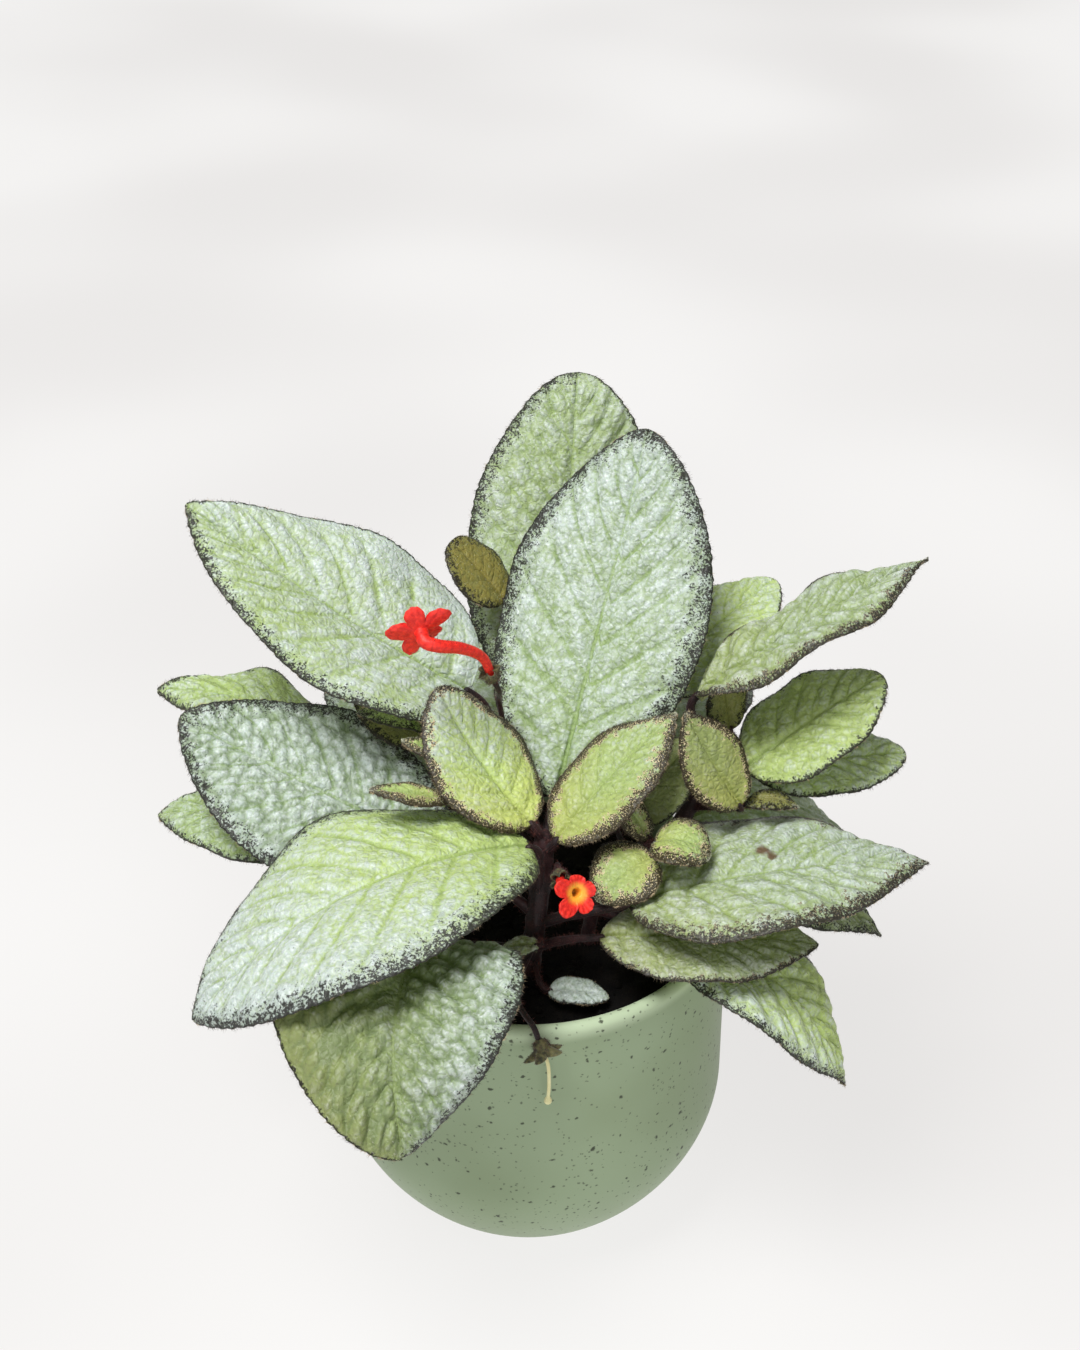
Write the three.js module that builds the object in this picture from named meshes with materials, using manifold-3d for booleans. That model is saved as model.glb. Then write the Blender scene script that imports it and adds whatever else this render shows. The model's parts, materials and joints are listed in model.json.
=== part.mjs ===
// A potted silver episcia: a glazed planter, soil, creeping stems, quilted silver leaves and red flowers.
// Millimetres, +Z up. The origin is the middle of the pot's foot, on the surface that it stands on.
// The plant's front is -Y and its right is +X. Headings are degrees from +X towards +Y, seen from above.

import * as THREE from 'three';
import { mergeVertices } from 'three/addons/utils/BufferGeometryUtils.js';
import Module from 'manifold-3d';

const wasm = await Module();
wasm.setup();

// Pot: its belly swells from the foot up to BELLY_HEIGHT. A straight wall leans in from there to the rim.
// The belly's curve leaves the foot by FOOT_HANDLE (outwards, up) and joins the wall over WALL_HANDLE.
const POT_RADIUS = 59.5;
const RIM_RADIUS = 58.5;
const FOOT_RADIUS = 35;
const POT_HEIGHT = 109;
const BELLY_HEIGHT = 46;
const FOOT_HANDLE = [3.6, 3.4];
const WALL_HANDLE = 23;
const WALL = 4.2;
const FLOOR_THICKNESS = 6;
const POT_SIDES = 32;
const BELLY_STEPS = 7;
const LIP_STEPS = 5;

// Soil
const SOIL_LEVEL = 99;
const SOIL_MOUND = 2.5;
const SOIL_LUMP = 0.7;
const SOIL_SIDES = POT_SIDES;
const SOIL_RINGS = 5;

// Every pair of touching pieces keeps this clearance.
const GAP = 0.3;

// Leaves
const BLADE_THICKNESS = 0.9;
const NECK_HALF_WIDTH = 1.3;
const TIP_HALF_WIDTH = 0.6;
const VEIN_SLANT = 0.12;
const BASE_ROUNDNESS = 0.55;
const FOLD_EASE = 0.4;
const MIDRIB_STEPS = 80;

// Rows run from the base to the tip and columns across one half, with one scallop for every two rows.
// quilt is how far each ridge between two side veins rises, and wave how far the margin undulates.
const LEAF_GRIDS = {
  large: { rows: 16, columns: 3, scallop: 1.0, quilt: 0.9, wave: 1.1, stalk: 1.7 },
  medium: { rows: 12, columns: 2, scallop: 0.8, quilt: 0.6, wave: 0.7, stalk: 1.4 },
  small: { rows: 6, columns: 2, scallop: 0.5, quilt: 0.3, wave: 0.2, stalk: 0.9 },
};
const WAVES = 2.2;

const COLOURS = {
  glaze: 0x9bad92,
  soil: 0x1d1714,
  stem: 0x4b1f22,
  silver: 0xb4c6ad,
  green: 0xa3b46e,
  olive: 0x6b6a2c,
  flower: 0xe2331f,
  calyx: 0x46402a,
  style: 0xd9d79a,
};

const ROUGHNESS = {
  glaze: 0.35,
  soil: 0.95,
  stem: 0.7,
  silver: 0.5,
  green: 0.55,
  olive: 0.6,
  flower: 0.6,
  calyx: 0.8,
  style: 0.5,
};

const STEM_SIDES = 8;
const STEM_STEPS = 8;
const STALK_SIDES = 5;
const STALK_STEPS = 4;

// Both ends of a leaf stalk's curve have a handle of this share of its reach.
const STALK_HANDLE = 0.35;

// Stems: the points that each runs through, from its buried end to its top.
const STEMS = {
  main: { radius: 3.0, points: [[2, -24, 86], [1, -26, 104], [3, -21, 122], [5, -12, 138]] },
  right: { radius: 2.4, points: [[26, 2, 86], [34, 4, 112], [46, 8, 132], [54, 11, 148]] },
  front: { radius: 2.0, points: [[16, -12, 86], [18, -13, 108], [22, -15, 124], [32, -15, 137]] },
  back: { radius: 2.8, points: [[-10, 14, 86], [-12, 19, 110], [-9, 23, 128], [-6, 25, 143]] },
};

// Leaves: base is where the blade starts, heading and climb are its direction there, end is its climb at
// the tip, and sweep is how far its heading turns on the way. fold lifts both halves, curl bends them down
// towards the margin and roll raises the right half. The blade is widest at peak, a share of its length,
// and a larger point draws the tip out. Its stalk leaves the stem at joint and rises by bow, both shares.
const LEAF_DEFAULTS = { sweep: 0, fold: 12, curl: 22, roll: 0, peak: 0.45, point: 0.95, bow: 0.08 };

const LEAVES = [
  { name: 'leaf_top_back', base: [8, 34, 151], heading: 84, climb: 41, end: 58, length: 103, width: 61,
    fold: 8, roll: -8, point: 0.5, stem: 'back', joint: 0.97, grid: 'large', colour: 'silver' },
  { name: 'leaf_tall', base: [8, 0, 143], heading: 71, sweep: -7, climb: 42, end: 58, length: 110, width: 63,
    point: 0.62, peak: 0.5, stem: 'main', joint: 0.97, grid: 'large', colour: 'silver' },
  { name: 'leaf_upper_left', base: [-17, 23, 164], heading: 177, sweep: -17, climb: 33, end: 33, length: 96,
    width: 57, fold: 25, roll: 19, peak: 0.37, point: 0.8, stem: 'back', joint: 0.85, grid: 'large',
    colour: 'silver' },
  { name: 'leaf_left', base: [-24, -12, 134], heading: 161, climb: 17, end: 21, length: 84, width: 54,
    roll: 23, point: 0.7, stem: 'main', joint: 0.6, grid: 'large', colour: 'silver' },
  { name: 'leaf_front_left', base: [1, -20, 141], heading: 210, sweep: -11, climb: 23, end: -52,
    length: 109, width: 69, roll: -3, point: 0.75, peak: 0.48, stem: 'main', joint: 0.7, grid: 'large',
    colour: 'silver' },
  { name: 'leaf_hanging_left', base: [-23.5, -37, 120.5], heading: 242, sweep: 46, climb: 40, end: -68,
    length: 76, width: 65, fold: 20, roll: -3.5, peak: 0.41, point: 0.67, stem: 'main', joint: 0.4,
    grid: 'large', colour: 'silver' },
  { name: 'leaf_right_front', base: [28, -28, 128], heading: 5, sweep: 3, climb: 17, end: -8, length: 85,
    width: 56, fold: 15, roll: 4, peak: 0.38, point: 0.85, stem: 'main', joint: 0.55, grid: 'large',
    colour: 'silver' },
  { name: 'leaf_right_under', base: [20, -33, 120], heading: -4, climb: 6, end: -4, length: 60, width: 36,
    point: 0.7, stem: 'main', joint: 0.42, grid: 'medium', colour: 'silver' },
  { name: 'leaf_hanging_right', base: [38, -24, 114], heading: -28, sweep: 14, climb: 11, end: -80,
    length: 75, width: 42, roll: 5, stem: 'front', joint: 0.5, grid: 'large', colour: 'green' },
  { name: 'leaf_right_low', base: [40, 4, 112], heading: 0, sweep: -16, climb: 14, end: -42, length: 70,
    width: 36, stem: 'right', joint: 0.42, grid: 'medium', colour: 'silver' },
  { name: 'leaf_right_upper', base: [48, 15, 168], heading: 6, sweep: 17, climb: 40, end: 15, length: 76,
    width: 34, fold: 14, roll: 8, point: 0.9, stem: 'right', joint: 0.97, grid: 'large', colour: 'silver' },
  { name: 'leaf_back_green', base: [35, 28, 159], heading: 45, sweep: -10, climb: 28, end: 15, length: 55,
    width: 37, point: 0.55, stem: 'right', joint: 0.92, grid: 'medium', colour: 'green' },
  { name: 'leaf_right_oval', base: [62, 8, 147], heading: 19, climb: 35, end: 24, length: 48, width: 36,
    roll: -5, point: 0.5, stem: 'right', joint: 0.8, grid: 'medium', colour: 'green' },
  { name: 'leaf_right_oval_under', base: [65, 16, 141], heading: 6, climb: 7, end: 0, length: 46, width: 28,
    roll: -10, point: 0.5, stem: 'right', joint: 0.7, grid: 'medium', colour: 'silver' },
  { name: 'leaf_olive', base: [-7, 50, 178], heading: 158, climb: 50, end: 40, length: 24, width: 25,
    point: 0.45, stem: 'back', joint: 0.99, grid: 'small', colour: 'olive' },
  { name: 'leaf_left_back', base: [-59, 30, 140], heading: 164, sweep: 10, climb: 38, end: -11, length: 56,
    width: 32, stem: 'back', joint: 0.6, grid: 'medium', colour: 'silver' },
  { name: 'leaf_left_low', base: [-58, 5, 120], heading: 163, sweep: 13, climb: 30, end: -18, length: 54,
    width: 38, point: 0.8, stem: 'back', joint: 0.42, grid: 'medium', colour: 'silver' },
  { name: 'leaf_dark_back', base: [-24, 16, 150], heading: 155, climb: 25, end: 20, length: 34, width: 24,
    stem: 'back', joint: 0.8, grid: 'small', colour: 'olive' },
  { name: 'leaf_small_curled', base: [-26, 9, 160], heading: 169, climb: 35, end: -20, length: 24, width: 12,
    stem: 'main', joint: 0.9, bow: 0, grid: 'small', colour: 'green' },
  { name: 'leaf_young_left', base: [1.5, -13.5, 144], heading: 148, sweep: -16, climb: 33, end: 52,
    length: 47, width: 34, point: 0.7, stem: 'main', joint: 0.99, grid: 'medium', colour: 'green' },
  { name: 'leaf_young_right', base: [8, -17, 141], heading: 36, sweep: -7, climb: 42, end: 29, length: 49,
    width: 30, point: 0.8, stem: 'main', joint: 0.93, grid: 'medium', colour: 'green' },
  { name: 'leaf_underside', base: [27, 3, 134], heading: 19, climb: 46, end: 44, length: 30, width: 26,
    roll: -10, point: 0.6, stem: 'front', joint: 0.9, grid: 'small', colour: 'silver' },
  { name: 'leaf_hairy_curved', base: [60, -5, 144], heading: 172, climb: 58, end: 64, length: 35, width: 20,
    roll: 50, stem: 'right', joint: 0.85, grid: 'small', colour: 'green' },
  { name: 'leaf_olive_right', base: [59, 20, 153], heading: 135, climb: 74, end: 78, length: 19, width: 15,
    roll: 10, stem: 'right', joint: 0.99, grid: 'small', colour: 'olive' },
  { name: 'leaf_brown_small', base: [62, 0, 141], heading: -10, climb: 40, end: -35, length: 16, width: 10,
    stem: 'right', joint: 0.75, grid: 'small', colour: 'olive' },
  { name: 'leaf_small_hairy', base: [-22, -14, 153], heading: 190, climb: 25, end: 5, length: 22, width: 11,
    stem: 'main', joint: 0.99, bow: 0.15, grid: 'small', colour: 'green' },
  { name: 'leaf_small_top', base: [-19, -1, 156], heading: 183, climb: 40, end: 14, length: 18, width: 11,
    stem: 'main', joint: 0.99, bow: 0.05, grid: 'small', colour: 'green' },
  { name: 'leaf_baby_triangle', base: [34, -13, 139], heading: 150, climb: 45, end: 55, length: 16,
    width: 12, stem: 'front', joint: 0.96, grid: 'small', colour: 'green' },
  { name: 'leaf_baby_round', base: [35, -18, 141], heading: -18, climb: 45, end: -50, length: 18, width: 21,
    point: 0.5, stem: 'front', joint: 0.98, grid: 'small', colour: 'green' },
  { name: 'leaf_baby_heart', base: [35, -20, 138], heading: 212, climb: 8, end: -55, length: 21, width: 22,
    roll: 8, point: 0.6, stem: 'front', joint: 0.9, grid: 'small', colour: 'green' },
  { name: 'leaf_on_soil', base: [6, -37, 104], heading: -8, climb: 14, end: -18, length: 17, width: 11,
    point: 0.5, stem: 'main', joint: 0.38, grid: 'small', colour: 'silver' },
  { name: 'leaf_inner_small', base: [3, -33, 117], heading: 185, climb: 10, end: -20, length: 10, width: 8,
    point: 0.5, stem: 'main', joint: 0.5, grid: 'small', colour: 'silver' },
  { name: 'leaf_back_left', base: [-22, 40, 122], heading: 117, climb: 22, end: -25, length: 82, width: 52,
    point: 0.75, stem: 'back', joint: 0.6, grid: 'medium', colour: 'silver' },
  { name: 'leaf_back_middle', base: [2, 44, 128], heading: 90, climb: 22, end: -30, length: 88, width: 58,
    point: 0.75, stem: 'back', joint: 0.7, grid: 'medium', colour: 'silver' },
  { name: 'leaf_back_right', base: [28, 42, 124], heading: 62, climb: 20, end: -30, length: 82, width: 52,
    point: 0.75, stem: 'back', joint: 0.65, grid: 'medium', colour: 'silver' },
  { name: 'leaf_back_hanging', base: [-24, 32, 114], heading: 147, climb: 15, end: -65, length: 76,
    width: 46, stem: 'back', joint: 0.45, grid: 'medium', colour: 'silver' },
  { name: 'leaf_back_low_right', base: [48, 22, 118], heading: 24, climb: 12, end: -66, length: 72,
    width: 42, stem: 'right', joint: 0.45, grid: 'medium', colour: 'silver' },
  { name: 'leaf_back_small', base: [16, 46, 146], heading: 72, climb: 35, end: 0, length: 54, width: 36,
    stem: 'back', joint: 0.9, grid: 'medium', colour: 'green' },
];

// Flowers: a stalk rises from its stem to the calyx, whose sepals reach out to spread, and the red tube runs
// from there to the open lobes, each with its own share of the radius and its bend forwards. The spent
// flower hangs over the rim, with its calyx and pale style left.
const FLOWERS = {
  left: { stem: 'main', joint: 0.97, stalk: [[-1, 3, 144], [-6, 13, 155], [-8, 15, 166]], spread: 3.6,
    tube: [[-9.5, 2, 183], [-12, 1, 190], [-17.5, -3, 195.5], [-23.5, -6.2, 198.3], [-26.8, -5.8, 199.3],
      [-28, -3, 200.3]],
    lobes: 9, reach: [1.05, 0.85, 1.1, 0.8, 1], bend: [0.5, 1.5, -0.5, 1, -1] },
  front: { stem: 'main', joint: 0.74, stalk: [[8, -17, 130]], spread: 3.6,
    tube: [[9, -22, 133], [9.5, -26.5, 133.5], [11, -31.5, 135.5], [13, -35, 137.8]],
    lobes: 6.5, reach: [0.8, 0.75, 1.1, 1.2, 0.95], bend: [0.6, -0.8, 0, 0.4, 0.8] },
  spent: { stem: 'main', joint: 0.42, stalk: [[-2, -42, 113], [-2, -54, 114.5]], spread: 6,
    style: [[3.8, -63.5, 109], [5.5, -65.5, 105], [6, -65.5, 98], [5.7, -65, 90]] },
};
const FLOWER_STALK_RADIUS = 0.8;
const FLOWER_STALK_STEPS = 7;
const CALYX_SIDES = 20;
const CALYX_DEPTH = 1.6;
const TUBE_RADIUS = 1.2;
const THROAT_RADIUS = 2;
const TUBE_STEPS = 4;
const LOBES = 5;
const STYLE_RADIUS = 0.5;
const STIGMA_RADIUS = 1.1;

// Vectors and solids

const toVector = ([x, y, z]) => new THREE.Vector3(x, y, z);
const radians = THREE.MathUtils.degToRad;
const mix = THREE.MathUtils.lerp;

// A closed solid for joining and cutting, from any closed geometry.
function solidOf(geometry) {
  const bare = new THREE.BufferGeometry();
  bare.setAttribute('position', geometry.getAttribute('position').clone());
  bare.setIndex(geometry.getIndex());
  const merged = mergeVertices(bare, 1e-4);
  return new wasm.Manifold(new wasm.Mesh({
    numProp: 3,
    vertProperties: new Float32Array(merged.getAttribute('position').array),
    triVerts: new Uint32Array(merged.getIndex().array),
  }));
}

function geometryOf(solid) {
  const mesh = solid.getMesh();
  const geometry = new THREE.BufferGeometry();
  geometry.setAttribute('position', new THREE.BufferAttribute(mesh.vertProperties, 3));
  geometry.setIndex(new THREE.BufferAttribute(mesh.triVerts, 1));
  return geometry;
}

function piece(name, geometry, colour) {
  const plain = geometry.getIndex() ? geometry.toNonIndexed() : geometry;
  plain.computeVertexNormals();
  const material = new THREE.MeshStandardMaterial({
    color: COLOURS[colour],
    roughness: ROUGHNESS[colour],
    metalness: 0,
  });
  const mesh = new THREE.Mesh(plain, material);
  mesh.name = name;
  return mesh;
}

// A surface on a grid of rows and columns, as triangles.
function gridFaces(rows, columns, start, flipped, closedColumns = false) {
  const faces = [];
  const stride = closedColumns ? columns : columns + 1;
  for (let i = 0; i < rows; i += 1) {
    for (let j = 0; j < columns; j += 1) {
      const next = closedColumns ? (j + 1) % columns : j + 1;
      const a = start + i * stride + j;
      const b = start + i * stride + next;
      const c = start + (i + 1) * stride + j;
      const d = start + (i + 1) * stride + next;
      const leaning = !closedColumns && j < columns / 2;
      const pair = leaning ? [[a, b, d], [a, d, c]] : [[a, b, c], [b, d, c]];
      for (const [p, q, r] of pair) {
        faces.push(...(flipped ? [p, r, q] : [p, q, r]));
      }
    }
  }
  return faces;
}

function geometryFrom(points, faces) {
  const geometry = new THREE.BufferGeometry();
  const flat = points.flatMap((point) => [point.x, point.y, point.z]);
  geometry.setAttribute('position', new THREE.Float32BufferAttribute(flat, 3));
  geometry.setIndex(faces);
  return geometry;
}

// Pot and soil

// Half section of the pot's body, drawn inwards by inset: the belly's curve, then the leaning wall.
function bodyProfile(inset, floor, top) {
  const lean = (POT_RADIUS - RIM_RADIUS) / (POT_HEIGHT - BELLY_HEIGHT);
  const foot = FOOT_RADIUS - inset;
  const radius = POT_RADIUS - inset;
  const belly = new THREE.CubicBezierCurve(
    new THREE.Vector2(foot, floor),
    new THREE.Vector2(foot + FOOT_HANDLE[0], floor + FOOT_HANDLE[1]),
    new THREE.Vector2(radius + lean * WALL_HANDLE, BELLY_HEIGHT - WALL_HANDLE),
    new THREE.Vector2(radius, BELLY_HEIGHT),
  );
  return [...belly.getPoints(BELLY_STEPS), new THREE.Vector2(radius - lean * (top - BELLY_HEIGHT), top)];
}

// Lathes turn a profile of (radius, height) about the vertical axis, which becomes +Z.
function turned(profile, sides) {
  const lathe = new THREE.LatheGeometry(profile, sides);
  lathe.rotateX(Math.PI / 2);
  return lathe;
}

function potSolid() {
  const lipRadius = WALL / 2;
  const shoulder = POT_HEIGHT - lipRadius;
  const outside = bodyProfile(0, 0, shoulder);
  const inside = bodyProfile(WALL, FLOOR_THICKNESS, shoulder).reverse();
  const outer = outside[outside.length - 1];
  const lip = [];
  for (let k = 1; k < LIP_STEPS; k += 1) {
    const angle = Math.PI * (k / LIP_STEPS);
    const x = outer.x - lipRadius + lipRadius * Math.cos(angle);
    lip.push(new THREE.Vector2(x, shoulder + lipRadius * Math.sin(angle)));
  }
  const profile = [new THREE.Vector2(0, 0), ...outside, ...lip, ...inside,
    new THREE.Vector2(0, FLOOR_THICKNESS)];
  return solidOf(turned(profile, POT_SIDES));
}

// The soil's surface: a low mound with lumps, where rough is how strong they are.
function soilHeight(x, y, rough) {
  const mound = SOIL_MOUND * Math.max(0, 1 - (x * x + y * y) / RIM_RADIUS ** 2);
  const lumps = Math.sin(0.31 * x + 0.9) * Math.cos(0.27 * y) + 0.6 * Math.sin(0.55 * x - 0.48 * y);
  return SOIL_LEVEL + mound + rough * SOIL_LUMP * lumps;
}

// Soil fills the pot to its level, with its top raised into lumps that die out at the wall.
function soilSolid() {
  const below = bodyProfile(WALL + GAP, FLOOR_THICKNESS + GAP, SOIL_LEVEL);
  const edge = below[below.length - 1].x;
  const points = [];
  const addRing = (radius, height) => {
    for (let j = 0; j < SOIL_SIDES; j += 1) {
      const angle = (2 * Math.PI * j) / SOIL_SIDES;
      const x = radius * Math.cos(angle);
      const y = radius * Math.sin(angle);
      points.push(new THREE.Vector3(x, y, height(x, y)));
    }
  };
  for (const corner of below) {
    addRing(corner.x, () => corner.y);
  }
  for (let ring = 1; ring < SOIL_RINGS; ring += 1) {
    const radius = edge * (1 - ring / SOIL_RINGS);
    const rough = Math.min(1, ring / 2);
    addRing(radius, (x, y) => soilHeight(x, y, rough));
  }
  const rings = below.length + SOIL_RINGS - 1;
  const faces = gridFaces(rings - 1, SOIL_SIDES, 0, false, true);
  const bottom = points.push(new THREE.Vector3(0, 0, below[0].y)) - 1;
  const top = points.push(new THREE.Vector3(0, 0, soilHeight(0, 0, 1))) - 1;
  const last = (rings - 1) * SOIL_SIDES;
  for (let j = 0; j < SOIL_SIDES; j += 1) {
    const next = (j + 1) % SOIL_SIDES;
    faces.push(next, j, bottom);
    faces.push(last + j, last + next, top);
  }
  return solidOf(geometryFrom(points, faces));
}

// Stems and stalks

function roundTube(curve, radius, sides, steps) {
  const section = new THREE.Shape();
  for (let k = 0; k < sides; k += 1) {
    const angle = (2 * Math.PI * k) / sides;
    const [x, y] = [radius * Math.cos(angle), radius * Math.sin(angle)];
    if (k === 0) section.moveTo(x, y);
    else section.lineTo(x, y);
  }
  section.closePath();
  return solidOf(new THREE.ExtrudeGeometry(section, { steps, extrudePath: curve, bevelEnabled: false }));
}

const stemCurve = (name) => new THREE.CatmullRomCurve3(STEMS[name].points.map(toVector));

// A leaf stalk leaves its stem, bends up and meets the blade's base in line with the midrib.
function stalkCurve(leaf) {
  const start = stemCurve(leaf.stem).getPointAt(leaf.joint);
  const direction = bladeDirection(leaf, 0);
  const end = toVector(leaf.base).addScaledVector(direction, -GAP);
  const reach = start.distanceTo(end);
  const bow = (leaf.bow ?? LEAF_DEFAULTS.bow) * reach;
  const outwards = start.clone().lerp(end, STALK_HANDLE).addScaledVector(new THREE.Vector3(0, 0, 1), bow);
  const before = end.clone().addScaledVector(direction, -STALK_HANDLE * reach);
  return new THREE.CubicBezierCurve3(start, outwards, before, end);
}

function stemSolid(name) {
  const stem = STEMS[name];
  let solid = roundTube(stemCurve(name), stem.radius, STEM_SIDES, STEM_STEPS);
  for (const leaf of LEAVES.filter((row) => row.stem === name)) {
    solid = solid.add(roundTube(stalkCurve(leaf), LEAF_GRIDS[leaf.grid].stalk, STALK_SIDES, STALK_STEPS));
  }
  for (const flower of Object.values(FLOWERS).filter((row) => row.stem === name)) {
    solid = solid.add(flowerStalk(flower));
  }
  return solid;
}

// Each stem stands in its own hole in the soil.
function drilledSoil() {
  return Object.entries(STEMS).reduce((soil, [name, stem]) => {
    const hole = roundTube(stemCurve(name), stem.radius + GAP, STEM_SIDES, STEM_STEPS);
    return soil.subtract(hole);
  }, soilSolid());
}

// Leaf blades

function bladeDirection(leaf, t) {
  const heading = radians(leaf.heading + (leaf.sweep ?? 0) * t);
  const climb = radians(mix(leaf.climb, leaf.end, t));
  return new THREE.Vector3(
    Math.cos(climb) * Math.cos(heading),
    Math.cos(climb) * Math.sin(heading),
    Math.sin(climb),
  );
}

// The midrib as a list of points: its direction turns evenly from the base to the tip.
function midribPoints(leaf) {
  const points = [toVector(leaf.base)];
  const step = leaf.length / MIDRIB_STEPS;
  for (let k = 0; k < MIDRIB_STEPS; k += 1) {
    const direction = bladeDirection(leaf, (k + 0.5) / MIDRIB_STEPS);
    points.push(points[k].clone().addScaledVector(direction, step));
  }
  return points;
}

function pointAlong(points, t) {
  const place = Math.min(Math.max(t, 0), 1) * (points.length - 1);
  const index = Math.min(Math.floor(place), points.length - 2);
  return points[index].clone().lerp(points[index + 1], place - index);
}

// Half of the blade's width: a sine arch, rounded at the base and drawn to a point at the tip.
function halfWidth(leaf, t) {
  const shift = Math.log(0.5) / Math.log(leaf.peak);
  const arch = Math.sin(Math.PI * Math.min(Math.max(t, 0), 1) ** shift);
  const power = mix(BASE_ROUNDNESS, leaf.point, t);
  const outline = (leaf.width / 2) * Math.max(arch, 0) ** power;
  return Math.hypot(outline, mix(NECK_HALF_WIDTH, TIP_HALF_WIDTH, t));
}

// A point of the blade's upper (+1) or lower (-1) face: t runs along the midrib, v from -1 to 1 across.
// Each half leaves the midrib at the fold angle and bends down by the curl angle towards its margin.
function bladePoint(leaf, midrib, t, v, face, lift, margin) {
  const direction = bladeDirection(leaf, t);
  const level = new THREE.Vector3(direction.y, -direction.x, 0).normalize();
  const upright = level.clone().cross(direction);
  const roll = radians(leaf.roll);
  const side = level.clone().multiplyScalar(Math.cos(roll)).addScaledVector(upright, Math.sin(roll));
  const normal = upright.clone().multiplyScalar(Math.cos(roll)).addScaledVector(level, -Math.sin(roll));
  const across = Math.abs(v);
  const hand = Math.sign(v);
  const fold = radians(leaf.fold * (1 - FOLD_EASE * t));
  const curl = radians(leaf.curl);
  const width = halfWidth(leaf, t) + margin;
  const out = (width * (Math.sin(fold) - Math.sin(fold - curl * across))) / curl;
  const up = (width * (Math.cos(fold - curl * across) - Math.cos(fold))) / curl;
  const slope = fold - curl * across;
  const faceNormal = normal.clone().multiplyScalar(Math.cos(slope));
  faceNormal.addScaledVector(side, -hand * Math.sin(slope));
  return pointAlong(midrib, t)
    .addScaledVector(side, hand * out)
    .addScaledVector(normal, up)
    .addScaledVector(faceNormal, lift + (face * BLADE_THICKNESS) / 2);
}

// The blade: rows slant forward along the side veins, every other row is a quilted ridge that ends in a
// scallop, and both faces are split into triangles alike.
function bladeGeometry(leaf) {
  const { rows, columns, scallop, quilt, wave } = LEAF_GRIDS[leaf.grid];
  const midrib = midribPoints(leaf);
  const points = [];
  for (const face of [1, -1]) {
    for (let i = 0; i <= rows; i += 1) {
      const even = i / rows;
      const u = mix(even, (1 - Math.cos(Math.PI * even)) / 2, 0.5);
      const crest = i % 2 === 1;
      for (let j = -columns; j <= columns; j += 1) {
        const v = j / columns;
        const across = Math.abs(v);
        const t = u + VEIN_SLANT * across * 4 * u * (1 - u);
        const ridge = crest ? quilt * Math.sin(Math.PI * across) : 0;
        const ripple = wave * across * across * Math.sin(2 * Math.PI * (WAVES * t + 0.2 * Math.sign(v)));
        const margin = across === 1 && i > 0 && i < rows ? (crest ? scallop / 2 : -scallop / 2) : 0;
        points.push(bladePoint(leaf, midrib, t, v, face, ridge + ripple, margin));
      }
    }
  }
  const lanes = 2 * columns;
  const stride = lanes + 1;
  const under = (rows + 1) * stride;
  const faces = [
    ...gridFaces(rows, lanes, 0, false),
    ...gridFaces(rows, lanes, under, true),
  ];
  const edge = [];
  for (let j = 0; j < lanes; j += 1) edge.push(j);
  for (let i = 0; i < rows; i += 1) edge.push(i * stride + lanes);
  for (let j = lanes; j > 0; j -= 1) edge.push(rows * stride + j);
  for (let i = rows; i > 0; i -= 1) edge.push(i * stride);
  edge.forEach((a, k) => {
    const b = edge[(k + 1) % edge.length];
    faces.push(a, a + under, b, b, a + under, b + under);
  });
  return geometryFrom(points, faces);
}

// Flowers

// A closed skin through rings of points, shut at both ends with a point in the middle of the ring.
function skinned(rings) {
  const sides = rings[0].length;
  const points = rings.flat();
  const faces = gridFaces(rings.length - 1, sides, 0, false, true);
  const middle = (ring) => ring.reduce((sum, point) => sum.add(point), new THREE.Vector3())
    .divideScalar(sides);
  const first = points.push(middle(rings[0])) - 1;
  const last = points.push(middle(rings[rings.length - 1])) - 1;
  const top = (rings.length - 1) * sides;
  for (let j = 0; j < sides; j += 1) {
    const next = (j + 1) % sides;
    faces.push(next, j, first);
    faces.push(top + j, top + next, last);
  }
  return geometryFrom(points, faces);
}

// A ring round an axis, whose outline has a cleft between each two lobes.
function lobedRing(origin, frame, along, radius, cleft, sharpness) {
  const ring = [];
  for (let j = 0; j < CALYX_SIDES; j += 1) {
    const angle = (2 * Math.PI * j) / CALYX_SIDES;
    const lobe = Math.abs(Math.cos((LOBES * angle) / 2)) ** sharpness;
    const reach = radius * (1 - cleft * (1 - lobe));
    ring.push(origin.clone()
      .addScaledVector(frame.tangent, along)
      .addScaledVector(frame.normal, reach * Math.cos(angle))
      .addScaledVector(frame.binormal, reach * Math.sin(angle)));
  }
  return ring;
}

// A value given for each lobe, eased between their middles: j counts the ring's points.
function betweenLobes(values, j) {
  const place = (j / CALYX_SIDES) * LOBES;
  const lobe = Math.floor(place);
  const share = THREE.MathUtils.smoothstep(place - lobe, 0, 1);
  return mix(values[lobe], values[(lobe + 1) % LOBES], share);
}

function frameOf(direction) {
  const tangent = direction.clone().normalize();
  const normal = new THREE.Vector3(0, 0, 1).cross(tangent).normalize();
  return { tangent, normal, binormal: tangent.clone().cross(normal) };
}

// Five pointed sepals round a small cup that is open on the flower's side. Each row of the section is the
// distance along the axis, the radius, and the depth and sharpness of the clefts.
function calyxGeometry(place, direction, spread) {
  const frame = frameOf(direction);
  const section = [
    [0, 0.9, 0, 1],
    [1.2, 2.0, 0, 1],
    [2.6, 2.3, 0.1, 1],
    [4.6, spread, 0.5, 1.4],
    [4.9, spread - 0.3, 0.5, 1.4],
    [3.2, 1.6, 0.05, 1],
    [CALYX_DEPTH, 1.5, 0, 1],
  ];
  return skinned(section.map((row) => lobedRing(place, frame, ...row)));
}

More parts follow.
